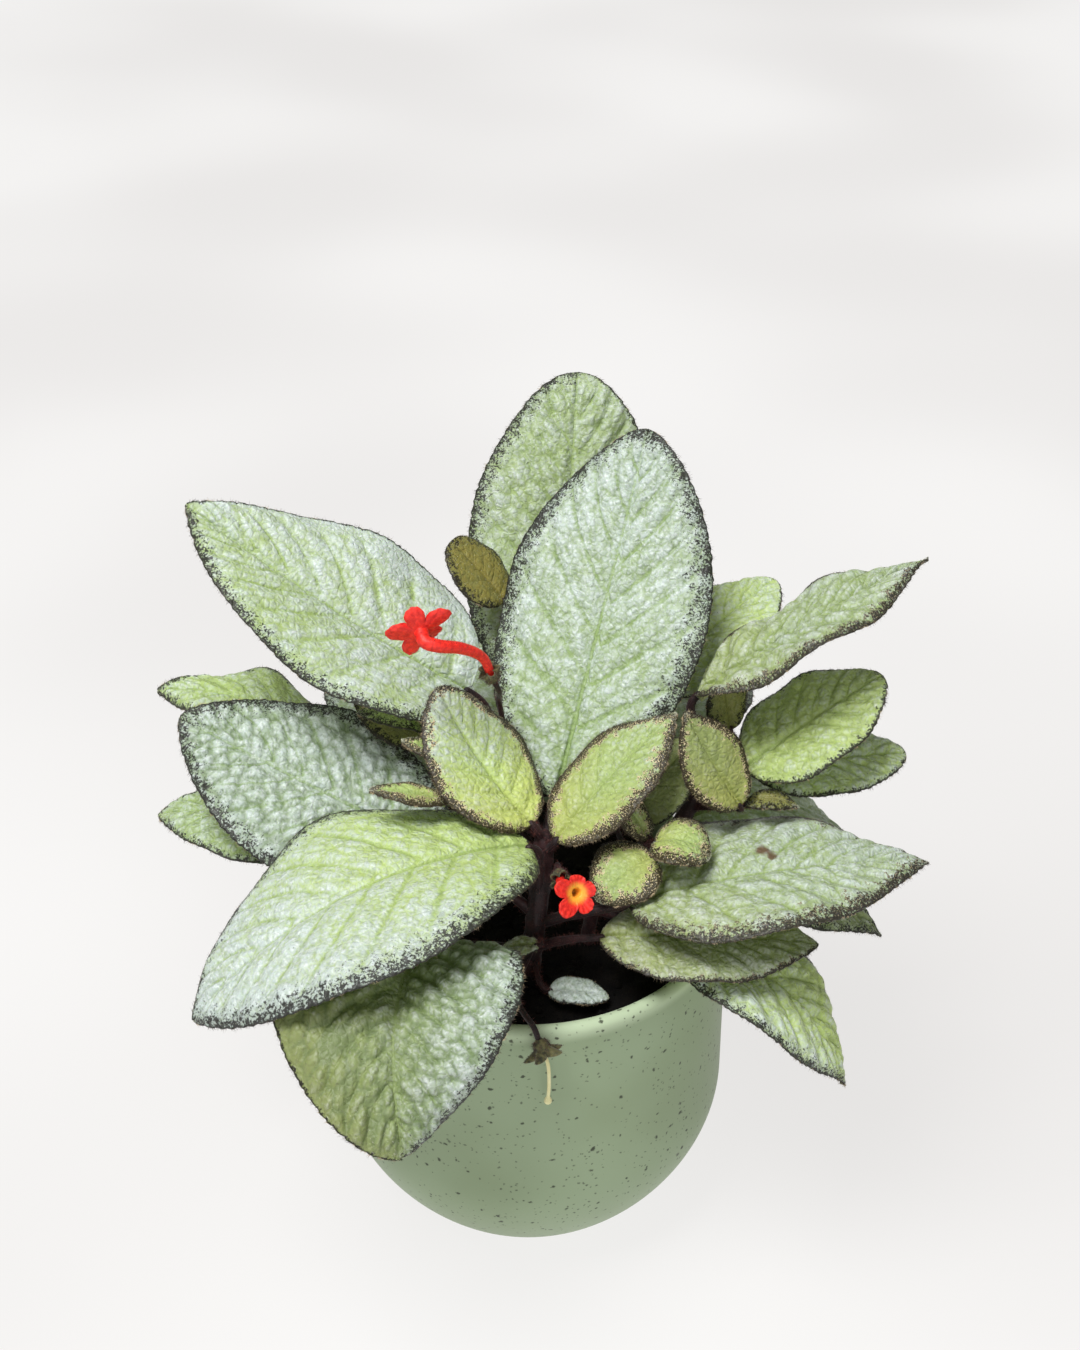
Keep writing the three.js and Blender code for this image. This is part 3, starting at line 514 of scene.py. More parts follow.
# Each leaf: its stem and how far up it the stalk leaves, its size, where the blade starts, the midrib's
# heading, its climb there and at the end, the blade's length and width, and what it changes.
leafKeys = ("stem", "joint", "size", "base", "heading", "climb", "end", "length", "width")
leafRows = {
    "top_back": ("back", 0.97, "large", (8, 34, 151), 84, 41, 58, 103, 61, dict(fold=8, roll=-8, point=0.5,
        silver=(0.5, 0.6, 0), warm=0.35, dark=(0.06, 0), border=(1.5, 0.4), lines=0.6, relief=1.2)),
    "tall": ("main", 0.97, "large", (8, 0, 143), 71, 42, 58, 110, 63, dict(sweep=-7, peak=0.5, point=0.62,
        silver=(0.5, 1, 0), warm=0.2, border=(1.7, 1.9), lines=0.75, relief=0.9)),
    # upper_left's strong silver is partly a painted highlight
    "upper_left": ("back", 0.85, "large", (-17, 23, 164), 177, 33, 33, 96, 57, dict(sweep=-17, fold=25,
        roll=19, peak=0.37, point=0.8, silver=(0.9, 0.65, 0.2), warm=0.6, border=(1.1, 0.15), relief=0.7)),
    "left": ("main", 0.6, "large", (-24, -12, 134), 161, 17, 21, 84, 54, dict(roll=23, point=0.7,
        silver=(0.95, 0.85, 0), warm=0.05, border=(1.4, 1.7), lines=0.8, relief=2, quilt=0.25,
        sweptCells=0.2, cell=5.4)),
    "front_left": ("main", 0.7, "large", (1, -20, 141), 210, 23, -52, 109, 69, dict(sweep=-11, roll=-3,
        peak=0.48, point=0.75, silver=(0.1, 1.4, -0.2), warm=0.85, border=(1.9, 1.3), lines=0.8,
        relief=0.7)),
    # hanging_left's olive dark and lost silver to the right partly paint the shade on that half
    "hanging_left": ("main", 0.4, "large", (-23.5, -37, 120.5), 242, 40, -68, 76, 65, dict(sweep=46,
        fold=20, roll=-3.5, peak=0.41, point=0.67, silver=(0.25, 0.4, -0.5), warm=0, dark=(0.2, 0.2),
        border=(1.1, 0.3), lines=0.6, relief=1.9, quilt=0.6, wave=2, cell=4.8)),
    "right_front": ("main", 0.55, "large", (28, -28, 128), 5, 17, -8, 85, 56, dict(sweep=3, fold=15, roll=4,
        peak=0.38, point=0.85, silver=(0.5, 0.9, 0), warm=0.4, dark=(0.05, 0), border=(1, 1.7), fuzz=0.35,
        relief=0.9, spots=((0.463, -0.28, 2.3), (0.49, -0.2, 1.9)))),
    "right_under": ("main", 0.42, "medium", (20, -33, 120), -4, 6, -4, 60, 36, dict(point=0.7,
        silver=(0.5, 0.6, 0), dark=(0.25, 0), border=(0.5, 0.5), fuzz=0.35)),
    "hanging_right": ("front", 0.5, "large", (38, -24, 114), -28, 11, -80, 75, 42, dict(sweep=14, roll=5,
        silver=(0.4, 0.4, 0.35), warm=1, border=(0.8, 0.8))),
    "right_low": ("right", 0.42, "medium", (40, 4, 112), 0, 14, -42, 70, 36, dict(sweep=-16,
        silver=(0.5, 0.5, 0), dark=(0.2, 0))),
    "right_upper": ("right", 0.97, "large", (48, 15, 168), 6, 40, 15, 76, 34, dict(sweep=17, fold=14,
        roll=8, point=0.9, silver=(0.45, 0.6, 0), warm=0.3, dark=(0.1, 0), border=(0.5, 1.1), fuzz=0.35,
        wave=1.6)),
    # back_green's full warm partly paints light over the shadow it lies in
    "back_green": ("right", 0.92, "medium", (35, 28, 159), 45, 28, 15, 55, 37, dict(sweep=-10, point=0.55,
        silver=(0.45, 0.5, 0), warm=1, border=(0.2, 0.2))),
    "right_oval": ("right", 0.8, "medium", (62, 8, 147), 19, 35, 24, 48, 36, dict(roll=-5, point=0.5,
        silver=(0.2, 0.3, 0), warm=0.8, dark=(0.08, 0), border=(0.5, 0.5), wave=1.5)),
    # right_oval_under's full warm partly paints light over the shade under right_oval
    "right_oval_under": ("right", 0.7, "medium", (65, 16, 141), 6, 7, 0, 46, 28, dict(roll=-10, point=0.5,
        silver=(0.5, 0.6, 0), warm=1, border=(0.4, 0.4))),
    "olive": ("back", 0.99, "small", (-7, 50, 178), 158, 50, 40, 24, 25, dict(point=0.45,
        silver=(-0.4, -0.4, 0), warm=0.4, dark=(0.85, 0))),
    "left_back": ("back", 0.6, "medium", (-59, 30, 140), 164, 38, -11, 56, 32, dict(sweep=10,
        silver=(0.2, 0.5, 0), warm=0.7, border=(0.6, 0.6), wave=2.5)),
    "left_low": ("back", 0.42, "medium", (-58, 5, 120), 163, 30, -18, 54, 38, dict(sweep=13, point=0.8,
        silver=(0.5, 0.5, 0), warm=0.4, border=(0.6, 0.6))),
    # dark_back's olive dark and missing silver partly paint the shade it lies in
    "dark_back": ("back", 0.8, "small", (-24, 16, 150), 155, 25, 20, 34, 24, dict(silver=(0, 0, 0),
        dark=(0.6, 0))),
    "small_curled": ("main", 0.9, "small", (-26, 9, 160), 169, 35, -20, 24, 12, dict(bow=0,
        silver=(0.1, 0.1, 0), warm=0.8)),
    "young_left": ("main", 0.99, "medium", (1.5, -13.5, 144), 148, 33, 52, 47, 34, dict(sweep=-16,
        point=0.7, silver=(0.05, 0.9, 0), warm=1, fuzz=1, lines=0.6, relief=0.8, cell=2.4, hairs=2.4)),
    "young_right": ("main", 0.93, "medium", (8, -17, 141), 36, 42, 29, 49, 30, dict(sweep=-7, point=0.8,
        silver=(0, 0.45, 0), warm=0.55, dark=(0.08, 0), border=(1.4, 1.4), fuzz=1, lines=0.5, relief=0.8,
        cell=2.4, hairs=2.4)),
    "underside": ("front", 0.9, "small", (27, 3, 134), 19, 46, 44, 30, 26, dict(roll=-10, point=0.6,
        silver=(0.1, 0.2, 0), dark=(0.35, 0), border=(0.2, 0.2))),
    "hairy_curved": ("right", 0.85, "small", (60, -5, 144), 172, 58, 64, 35, 20, dict(roll=50,
        silver=(0.1, 0.1, 0), warm=0.5, dark=(0.3, 0), border=(0.8, 0.8), fuzz=1, cell=1.8, hairs=2.5)),
    "olive_right": ("right", 0.99, "small", (59, 20, 153), 135, 74, 78, 19, 15, dict(roll=10,
        silver=(-0.2, -0.2, 0), dark=(0.6, 0))),
    "brown_small": ("right", 0.75, "small", (62, 0, 141), -10, 40, -35, 16, 10, dict(silver=(-0.2, -0.2, 0),
        dark=(0.7, 0))),
    "small_hairy": ("main", 0.99, "small", (-22, -14, 153), 190, 25, 5, 22, 11, dict(bow=0.15,
        silver=(0, 0.1, 0), warm=0.75, fuzz=1, cell=1.8, hairs=2)),
    "small_top": ("main", 0.99, "small", (-19, -1, 156), 183, 40, 14, 18, 11, dict(bow=0.05,
        silver=(0, 0.1, 0), warm=0.9, fuzz=1, cell=1.8, hairs=2)),
    "baby_triangle": ("front", 0.96, "small", (34, -13, 139), 150, 45, 55, 16, 12, dict(
        silver=(0.1, 0.2, 0), warm=0.5, border=(1.2, 1.2), fuzz=1, cell=1.8, hairs=2)),
    "baby_round": ("front", 0.98, "small", (35, -18, 141), -18, 45, -50, 18, 21, dict(point=0.5,
        silver=(0, 0.1, 0), warm=0.65, border=(1.5, 1.5), fuzz=1, lines=0.3, cell=1.8, hairs=2.5)),
    "baby_heart": ("front", 0.9, "small", (35, -20, 138), 212, 8, -55, 21, 22, dict(roll=8, point=0.6,
        silver=(0, 0.1, 0), warm=0.6, dark=(0.08, 0), border=(1.6, 1.6), fuzz=1, lines=0.3, cell=1.8,
        hairs=2.5)),
    "on_soil": ("main", 0.38, "small", (6, -37, 104), -8, 14, -18, 17, 11, dict(point=0.5,
        silver=(1.1, 1.3, 0), warm=0, border=(0.2, 0.2), lines=0.1)),
    "inner_small": ("main", 0.5, "small", (3, -33, 117), 185, 10, -20, 10, 8, dict(point=0.5,
        silver=(0.5, 0.5, 0), dark=(0.2, 0), border=(0, 0))),
    "back_left": ("back", 0.6, "medium", (-22, 40, 122), 117, 22, -25, 82, 52, dict(point=0.75,
        silver=(0.6, 0.8, 0))),
    "back_middle": ("back", 0.7, "medium", (2, 44, 128), 90, 22, -30, 88, 58, dict(point=0.75,
        silver=(0.5, 0.85, 0))),
    "back_right": ("back", 0.65, "medium", (28, 42, 124), 62, 20, -30, 82, 52, dict(point=0.75,
        silver=(0.6, 0.8, 0))),
    "back_hanging": ("back", 0.45, "medium", (-24, 32, 114), 147, 15, -65, 76, 46, dict(
        silver=(0.4, 0.6, 0))),
    "back_low_right": ("right", 0.45, "medium", (48, 22, 118), 24, 12, -66, 72, 42, dict(
        silver=(0.4, 0.6, 0))),
    "back_small": ("back", 0.9, "medium", (16, 46, 146), 72, 35, 0, 54, 36, dict(silver=(0.3, 0.4, 0),
        warm=0.5)),
}
leaves = {name: {**leafDefaults, **dict(zip(leafKeys, row)), **row[-1]} for name, row in leafRows.items()}
# rows and columns count the grid along a blade and across one half; the rest is counts and millimetres
leafSizes = {
    "large": dict(rows=120, columns=32, veins=9, wave=1.2, quilt=1.2, pebble=0.8, cell=5.2, scallops=36,
                  crenation=0.55, stalk=1.7, edgeHairs=540, faceHairs=700, hair=1.1),
    "medium": dict(rows=72, columns=22, veins=8, wave=0.7, quilt=0.8, pebble=0.6, cell=4.0, scallops=26,
                   crenation=0.5, stalk=1.4, edgeHairs=360, faceHairs=440, hair=1.1),
    "small": dict(rows=40, columns=12, veins=6, wave=0.2, quilt=0.3, pebble=0.35, cell=2.4, scallops=14,
                  crenation=0.4, stalk=0.9, edgeHairs=240, faceHairs=320, hair=0.9),
}
# What all blades have in common: lengths in mm, and shares, powers and counts.
# valley sets how dark the painted shade in the pebbles' valleys is
blade = dict(thickness=0.8, edgeThin=0.55, neck=1.3, tip=0.6, slant=0.12, roundness=0.55, foldEase=0.4,
             waves=2.2, midribSteps=80, veinSweep=1.3, veinShift=0.35, pillow=2.2, lump=0.9, lumpSize=9,
             groove=0.5, grooveWidth=0.9, rib=1.3, ragged=0.5, raggedSize=1.3, valley=0.23,
             edgeHair=0.05, faceHair=0.035)


# The midrib's heading and climb at share t: each turns evenly from the base to the tip.
def bladeHeading(leaf, t):
    heading = np.radians(leaf["heading"] + leaf["sweep"] * t)
    climb = np.radians(leaf["climb"] + (leaf["end"] - leaf["climb"]) * t)
    return heading, climb


# The unit vector with that heading and climb.
def bladeDirection(leaf, t):
    heading, climb = bladeHeading(leaf, t)
    return np.stack([np.cos(climb) * np.cos(heading), np.cos(climb) * np.sin(heading), np.sin(climb)], -1)


# The midrib is the sum of short steps along its direction.
def bladeMidrib(leaf, t):
    count = blade["midribSteps"]
    steps = bladeDirection(leaf, (np.arange(count) + 0.5) / count) * leaf["length"] / count
    line = np.vstack([np.zeros(3), np.cumsum(steps, axis=0)]) + leaf["base"]
    return np.stack([np.interp(t, np.linspace(0, 1, count + 1), line[:, k]) for k in range(3)], -1)


# Half the width: a sine arch of t, rounded at the base and drawn to a point at the tip.
def bladeHalfWidth(leaf, t):
    shift = math.log(0.5) / math.log(leaf["peak"])
    arch = np.maximum(np.sin(np.pi * np.clip(t, 0, 1) ** shift), 0)
    power = blade["roundness"] + (leaf["point"] - blade["roundness"]) * t
    return np.hypot(leaf["width"] / 2 * arch ** power, blade["neck"] + (blade["tip"] - blade["neck"]) * t)


# One blade as a function of e, from base to tip, and v, from -1 to 1 across. Each half leaves the midrib at
# the fold angle and bends down by the curl. Pillows rise between the side veins, pebbles rise on them, the
# margin undulates and is cut into small scallops. Both faces share the grid and are sewn at the edge.
def makeLeaf(name, number):
    leaf = leaves[name]
    size = leafSizes[leaf["size"]]
    rows, columns = size["rows"] + 1, 2 * size["columns"] + 1
    e, v = np.linspace(0, 1, rows)[:, None], np.linspace(-1, 1, columns)[None, :]
    across, hand = np.abs(v), np.sign(v)
    u = (e + (1 - np.cos(np.pi * e)) / 2) / 2
    t = np.broadcast_to(u + blade["slant"] * across * 4 * u * (1 - u), (rows, columns))
    half = bladeHalfWidth(leaf, t)
    x, y = v * half, t * leaf["length"]

    # side veins sweep forward: w is where the vein through this point leaves the midrib
    w = 1 - (1 - np.minimum(t, 0.999)) ** (1 / (1 + blade["veinSweep"] * across ** 1.25))
    veins = w * size["veins"] + blade["veinShift"] * ease(v, 0, 0.08)
    between = 1 - np.abs(2 * (veins % 1) - 1) ** blade["pillow"]
    # body takes the relief out at the midrib, the margin, the base and the tip
    body = ease(across, 0, 0.12) * (1 - ease(across, 0.8, 1.0)) * ease(t, 0, 0.06) * (1 - ease(t, 0.9, 1.0))
    cell = leaf.get("cell", size["cell"])
    swept = leaf["sweptCells"]
    along = (1.2 - swept) * y + swept * w * leaf["length"]
    near, second = pebbleCells(x + 300, along + 90 * number, cell, 7)
    pebble = 0.4 * ease(second - near, 0, 0.3) + 0.6 * ease(second - near, 0, 0.9)
    lumps = softNoise(x + 300, y + 60 * number, blade["lumpSize"], 11) - 0.5
    pillows = leaf["quilt"] * size["quilt"] * between
    relief = leaf["relief"] * body * (pillows + size["pebble"] * (pebble - 0.5))
    groove = blade["groove"] * np.exp(-(x / blade["grooveWidth"]) ** 2) * (1 - 0.7 * t)
    ripple = np.sin(2 * np.pi * (blade["waves"] * t + 0.2 * hand)) * leaf["wave"] * size["wave"] * across ** 2
    lumps = blade["lump"] * lumps * ease(across, 0.1, 0.5) * ease(t, 0, 0.1)
    lift = relief - groove + ripple + lumps

    # the cut moves a point of the margin in or out, by scallops and a ragged noise
    scallop = np.abs(np.sin(np.pi * size["scallops"] * t)) ** 0.6 - 0.7
    ragged = softNoise(y + 40 * hand, y + 31 * number, blade["raggedSize"], 5) - 0.5
    cut = (size["crenation"] * scallop + blade["ragged"] * ragged) * ease(t, 0, 0.05) * across ** 9
    fold, curl = np.radians(leaf["fold"] * (1 - blade["foldEase"] * t)), math.radians(leaf["curl"])
    slope = fold - curl * (across + cut / half)
    out = half / curl * (np.sin(fold) - np.sin(slope))
    up = half / curl * (np.cos(slope) - np.cos(fold))

    # side and normal square the midrib's direction, after the roll
    heading, climb = bladeHeading(leaf, t)
    ahead = np.stack([np.cos(heading), np.sin(heading), 0 * t], -1)
    level = np.stack([np.sin(heading), -np.cos(heading), 0 * t], -1)
    upright = np.array([0, 0, 1]) * np.cos(climb)[..., None] - ahead * np.sin(climb)[..., None]
    roll = math.radians(leaf["roll"])
    side = level * math.cos(roll) + upright * math.sin(roll)
    normal = upright * math.cos(roll) - level * math.sin(roll)
    face = normal * np.cos(slope)[..., None] - side * (hand * np.sin(slope))[..., None]
    middle = bladeMidrib(leaf, t) + side * (hand * out)[..., None] + normal * up[..., None]
    middle = middle + face * lift[..., None]
    thick = blade["thickness"] * (1 - blade["edgeThin"] * across ** 5)
    rib = blade["rib"] * np.exp(-x ** 2) * (1 - t) ** 0.7
    upper = middle + face * (thick / 2)[..., None]
    lower = middle - face * (thick / 2 + rib)[..., None]

    # what the paints read at each point
    atBase, atTip, toRight = leaf["silver"]
    silver = atBase + (atTip - atBase) * t + toRight * v + 0.12 * (across ** 2 - 0.35)
    dark = np.clip(leaf["dark"][0] + leaf["dark"][1] * v, 0, 1)
    left, right = leaf["border"]
    border = left + (right - left) * ease(v, -0.3, 0.3)
    margin = np.minimum(half * (1 - across), leaf["length"] * (1 - t) + 0.5)
    spot = 0 * t
    for spotT, spotV, wide in leaf["spots"]:
        away = np.hypot((t - spotT) * leaf["length"], (v - spotV) * half)
        spot = np.maximum(spot, 1 - ease(away, 0.6 * wide, wide))
    columnsOf = lambda *parts: np.stack([np.broadcast_to(q, t.shape) for q in parts], -1).reshape(-1, 3)
    vectors = dict(
        pattern=columnsOf(x, y, 37.0 * number),
        flow=columnsOf(0.8 * x, 1.6 * w * leaf["length"], 37.0 * number),
        tone=columnsOf(silver, leaf["warm"], dark),
        form=columnsOf(pebble * body + 0.5 * (1 - body), np.abs(x) * (1 + 1.2 * t), veins),
        rim=columnsOf(margin, border, leaf["fuzz"]),
        # the last number is how dark the painted shade in the valleys is
        mark=columnsOf(spot, leaf["lines"], blade["valley"] * leaf["relief"]),
    )

    shape = Shape()
    count = rows * columns
    shape.add(upper, gridQuads(rows, columns), paint=0, **vectors)
    ring = np.concatenate([
        np.arange(columns), np.arange(1, rows) * columns + columns - 1,
        (rows - 1) * columns + np.arange(columns - 1)[::-1], np.arange(1, rows - 1)[::-1] * columns,
    ])
    after = np.roll(ring, -1)
    edge = np.stack([ring, ring + count, after + count, after], -1)
    shape.add(lower, gridQuads(rows, columns, flipped=True), paint=1, **vectors)
    shape.quads.append((edge, np.zeros(len(edge), int)))

    rng = np.random.default_rng(100 + number)
    addEdgeHairs(shape, upper, size, leaf, rng)
    addFaceHairs(shape, upper, face, size, leaf, rng)
    node = "leaf_" + name
    shape.build("blade_" + name, [leafTop, leafUnder, paleHair, rimHair], slotOf(node), node)


# Hairs along the margin point outwards, each turned a little its own way.
def addEdgeHairs(shape, upper, size, leaf, rng):
    count = int(size["edgeHairs"] * leaf["hairs"])
    row = rng.integers(2, len(upper) - 1, count)
    last = rng.random(count) < 0.5
    roots = np.where(last[:, None], upper[row, -1], upper[row, 0])
    inner = np.where(last[:, None], upper[row, -3], upper[row, 2])
    before = np.where(last[:, None], upper[row - 1, -1], upper[row - 1, 0])
    roots = roots + (before - roots) * rng.random((count, 1))
    outward = unit(roots - inner) + rng.normal(0, 0.35, (count, 3))
    lengths = size["hair"] * rng.uniform(0.6, 1.4, count)
    addHairs(shape, roots - 0.1 * unit(outward), outward, lengths, blade["edgeHair"], 3)


# Short hairs over the upper face, standing up and leaning to the tip.
def addFaceHairs(shape, upper, face, size, leaf, rng):
    count = int(size["faceHairs"] * leaf["hairs"])
    row, column = (rng.integers(1, upper.shape[axis] - 1, count) for axis in (0, 1))
    roots = upper[row, column] + (upper[row + 1, column] - upper[row, column]) * rng.random((count, 1))
    roots = roots + (upper[row, column + 1] - upper[row, column]) * rng.random((count, 1))
    onward = unit(upper[row + 1, column] - upper[row, column])
    standing = face[row, column] + onward * 0.6 + rng.normal(0, 0.3, (count, 3))
    lengths = 0.6 * size["hair"] * rng.uniform(0.6, 1.3, count)
    addHairs(shape, roots - 0.05 * unit(standing), standing, lengths, blade["faceHair"], 2)


# A node's finish, as the record names it.
def slotOf(node):
    return next(row["material_slot"] for row in frame["record"]["subparts"] if row["node"] == node)


for number, name in enumerate(leaves):
    makeLeaf(name, number)
print("leaves made:", len(leaves))


# Stems

# A stem's radius and the points of its curve, in mm.
stems = {
    "main": dict(radius=3.0, points=[(2, -24, 86), (1, -26, 104), (3, -21, 122), (5, -12, 138)]),
    "right": dict(radius=2.4, points=[(26, 2, 86), (34, 4, 112), (46, 8, 132), (54, 11, 148)]),
    "front": dict(radius=2.0, points=[(16, -12, 86), (18, -13, 108), (22, -15, 124), (32, -15, 137)]),
    "back": dict(radius=2.8, points=[(-10, 14, 86), (-12, 19, 110), (-9, 23, 128), (-6, 25, 143)]),
}
# Flowers: a stalk rises from its stem to the calyx, whose sepals reach out to spread, and the tube runs on to
# the open lobes, of the radius lobes, cut in by the share cleft. reach stretches each lobe and bend moves its
# tip along the axis.
flowers = {
    "left": dict(stem="main", joint=0.97, stalk=[(-1, 3, 144), (-6, 13, 155), (-8, 15, 166)], spread=3.6,
                 tube=[(-9.5, 2, 183), (-12, 1, 190), (-17.5, -3, 195.5), (-23.5, -6.2, 198.3),
                       (-26.8, -5.8, 199.3), (-28, -3, 200.3)],
                 lobes=9, cleft=0.64, reach=(1.05, 0.85, 1.1, 0.8, 1), bend=(0.5, 1.5, -0.5, 1, -1)),
    "front": dict(stem="main", joint=0.74, stalk=[(8, -17, 130)], spread=3.6,
                  tube=[(9, -22, 133), (9.5, -26.5, 133.5), (11, -31.5, 135.5), (13, -35, 137.8)],
                  lobes=6.5, cleft=0.4, reach=(0.8, 0.75, 1.1, 1.2, 0.95), bend=(0.6, -0.8, 0, 0.4, 0.8)),
    "spent": dict(stem="main", joint=0.42, stalk=[(-2, -42, 113), (-2, -54, 114.5)], spread=6,
                  tube=[(3.8, -63.5, 109), (5.5, -65.5, 105), (6, -65.5, 98), (5.7, -65, 90)]),
}
# Grids and hairs of a stem, of its leaf stalks and of its flower stalks.
stemGrids = dict(stem=dict(steps=60, sides=24, hairs=900), leaf=dict(steps=28, sides=14, hairs=420),
                 flower=dict(steps=40, sides=12, hairs=350))
# gap and depth seat the calyx behind the flower; tube and throat are the radii of the tube's two ends, lobes
# is how many there are, and style and stigma are the radii of the thread and of its knob
flowerSizes = dict(stalk=0.8, gap=0.3, depth=1.6, tube=1.2, throat=2.0, lobes=5, style=0.5, stigma=1.1,
                   calyxHairs=500, tubeHairs=400)


# Dark maroon in blotches, with fine lighter grains; the near-black ground is partly painted shade among the
# leaves.
def stemPaint():
    p = Paint("stemSkin")
    at = p.place()
    blotch = p.noise(at, 180, 3, 0.6)
    grain = p.noise(at, 1500, 2, 0.6)
    skin = p.layers(
        colour(22, 8, 11),
        (blotch.step(0.35, 0.7), colour(50, 20, 22)),
        (grain.step(0.6, 0.75) * 0.4, colour(110, 64, 58)),
    )
    return p.finish(skin, grain * 0.2, roughness=0.55, specular_ior_level=0.35, sheen_weight=0.1)


stemSkin = stemPaint()


# A leaf stalk's curve: a Bezier that leaves the stem, rises by the bow and meets the midrib in line.
def stalkPath(leaf, start):
    direction = bladeDirection(leaf, 0.0)
    end = np.array(leaf["base"]) + direction * 0.6
    reach = np.linalg.norm(end - start)
    first = start + (end - start) * 0.35 + np.array([0, 0, leaf["bow"] * reach])
    second = end - direction * 0.35 * reach
    return bezier(start, first, second, end, 60)


# The calyx sits just behind the tube's first point, looking along it.
def calyxPlace(flower):
    first, second = np.array(flower["tube"][0], float), np.array(flower["tube"][1], float)
    direction = unit(second - first)
    return first - direction * (flowerSizes["depth"] + flowerSizes["gap"]), direction


# A stem, with the stalk of every leaf and flower that grows from it: tubes along their curves, thinner at the
# leaf, with a few knots on the stem and slight waves on the leaf stalks, then hairs on each tube in turn.
def makeStem(name):
    stem, shape, rng = stems[name], Shape(), np.random.default_rng(len(name))
    path = curveThrough(stem["points"], stemGrids["stem"]["steps"])
    joint = lambda grown: path[round(stemGrids["stem"]["steps"] * grown["joint"])]
    knots = lambda s, a: 1 + 0.09 * np.cos(2 * np.pi * 7 * s) ** 8 + 0.05 * np.sin(5 * a + 20 * s)
    wavy = lambda s, a: 1 + 0.07 * np.sin(2 * a + 9 * s) + 0.04 * np.sin(23 * s + a)
    tubes = [("stem", path, stem["radius"] * 0.95, knots)]
    for leaf in leaves.values():
        if leaf["stem"] == name:
            line = evenSteps(stalkPath(leaf, joint(leaf)), stemGrids["leaf"]["steps"])
            thinning = 0.92 - 0.22 * np.linspace(0, 1, len(line)) ** 2
            tubes.append(("leaf", line, leafSizes[leaf["size"]]["stalk"] * thinning, wavy))
    for flower in flowers.values():
        if flower["stem"] == name:
            place, direction = calyxPlace(flower)
            end = place - direction * flowerSizes["gap"] * 0.5
            before = end - 2 * flowerSizes["depth"] * direction
            line = curveThrough([joint(flower), *flower["stalk"], before, end], stemGrids["flower"]["steps"])
            tubes.append(("flower", line, flowerSizes["stalk"], None))
    made = [(addTube(shape, line, radius, stemGrids[kind]["sides"], swell), stemGrids[kind]["hairs"])
            for kind, line, radius, swell in tubes]
    for rings, count in made:
        hairRings(shape, rings, (2, len(rings) - 3), count, (0.78, 1.69), rng, slide=True)
    shape.build("shoot_" + name, [stemSkin, redHair], "stem", "stem_" + name)


for name in stems:
    makeStem(name)
print("stems made")


# Flowers

# Red petals with a yellow throat, darkened deep inside as painted shade. spread holds the distance from the
# flower's axis in mm and, as its last number, 1 on the inner face.
def petalPaint():
    p = Paint("petal")
    out, inside = p.attribute("spread").split()[::2]
    grain = p.noise(p.place(), 900, 3, 0.6)
    throat = (1 - (out + (grain - 0.5) * 1.6).step(1.7, 3.8)) * inside
    # painted shade deep in the throat
    deepShade = (1 - out.step(0.3, 1.3)) * inside
    skin = p.layers(
        colour(206, 20, 12),
        (grain.step(0.3, 0.75), colour(252, 52, 36)),
        (throat, colour(250, 172, 52)),
        (deepShade, colour(96, 84, 20)),
    )
    return p.finish(skin, grain * 0.2, roughness=0.5, subsurface_weight=0.15,
                    subsurface_scale=0.002, subsurface_radius=(1.0, 0.25, 0.1))


# Dull olive with a brown grain.
def calyxPaint():
    p = Paint("sepal")
    grain = p.noise(p.place(), 700, 3, 0.6)
    skin = p.layers(colour(44, 46, 28), (grain.step(0.3, 0.7), colour(112, 108, 66)))
    return p.finish(skin, grain * 0.25, roughness=0.7, sheen_weight=0.2)


# Pale yellow, lighter in places.
def stylePaint():
    p = Paint("styleSkin")
    grain = p.noise(p.place(), 600, 2)
    return p.finish(p.layers(colour(214, 206, 140), (grain, colour(236, 232, 186))), roughness=0.45)


petal, sepal, styleSkin = petalPaint(), calyxPaint(), stylePaint()


# Two directions square to a given one: its cross product with the vertical is level, and the other one is
# square to both.
def axes(direction):
    normal = unit(np.cross([0, 0, 1.0], direction))
    return normal, np.cross(direction, normal)


# Rings about an axis. Each row of the section is (along, radius, cleft, sharpness), and rings stand evenly
# between the rows.
# A ring's outline is radius * (1 - cleft * (1 - lobe)), where lobe is a power of a cosine. The ruffle moves
# its points along the axis, most at the widest ring.
def lobedRings(place, direction, section, rings, sides, ruffle=0.0):
    rows = np.array(section, float)
    s = np.linspace(0, len(rows) - 1, rings)
    along, radius, cleft, sharp = (np.interp(s, np.arange(len(rows)), row)[:, None] for row in rows.T)
    angle = fullTurn(sides)[None]
    lobe = np.abs(np.cos(flowerSizes["lobes"] * angle / 2)) ** sharp
    reach = radius * (1 - cleft * (1 - lobe))
    along = along + ruffle * np.sin(17 * angle + 1.3) * np.sin(9 * angle) * (radius / radius.max()) ** 3
    normal, binormal = axes(direction)
    points = (place + along[..., None] * direction + (reach * np.cos(angle))[..., None] * normal
              + (reach * np.sin(angle))[..., None] * binormal)
    return points, reach


# The calyx: a cup that opens into five sepals and turns back inside them, with hairs outside.
def makeCalyx(name):
    flower, shape, rng = flowers[name], Shape(), np.random.default_rng(40 + len(name))
    wide = flower["spread"]
    section = [(0, 0.9, 0, 1), (1.2, 2.0, 0, 1), (2.6, 2.3, 0.1, 1), (4.6, wide, 0.62, 1.2),
               (4.9, wide - 0.3, 0.62, 1.2), (3.2, 1.6, 0.05, 1), (flowerSizes["depth"], 1.5, 0, 1)]
    rings = lobedRings(*calyxPlace(flower), section, 30, 60)[0]
    addSkin(shape, rings)
    hairRings(shape, rings, (2, 16), flowerSizes["calyxHairs"], (0.6, 1.4), rng, stray=0.35)
    shape.build("sepals_" + name, [sepal, redHair], "calyx", "calyx_" + name)


# A value given for each lobe, eased between their middles over the turn.
def betweenLobes(values, angle):
    place = angle / (2 * np.pi) * flowerSizes["lobes"]
    lobe = np.floor(place).astype(int) % flowerSizes["lobes"]
    values = np.array(values, float)
    share = ease(place - np.floor(place), 0, 1)
    return values[lobe] * (1 - share) + values[(lobe + 1) % flowerSizes["lobes"]] * share


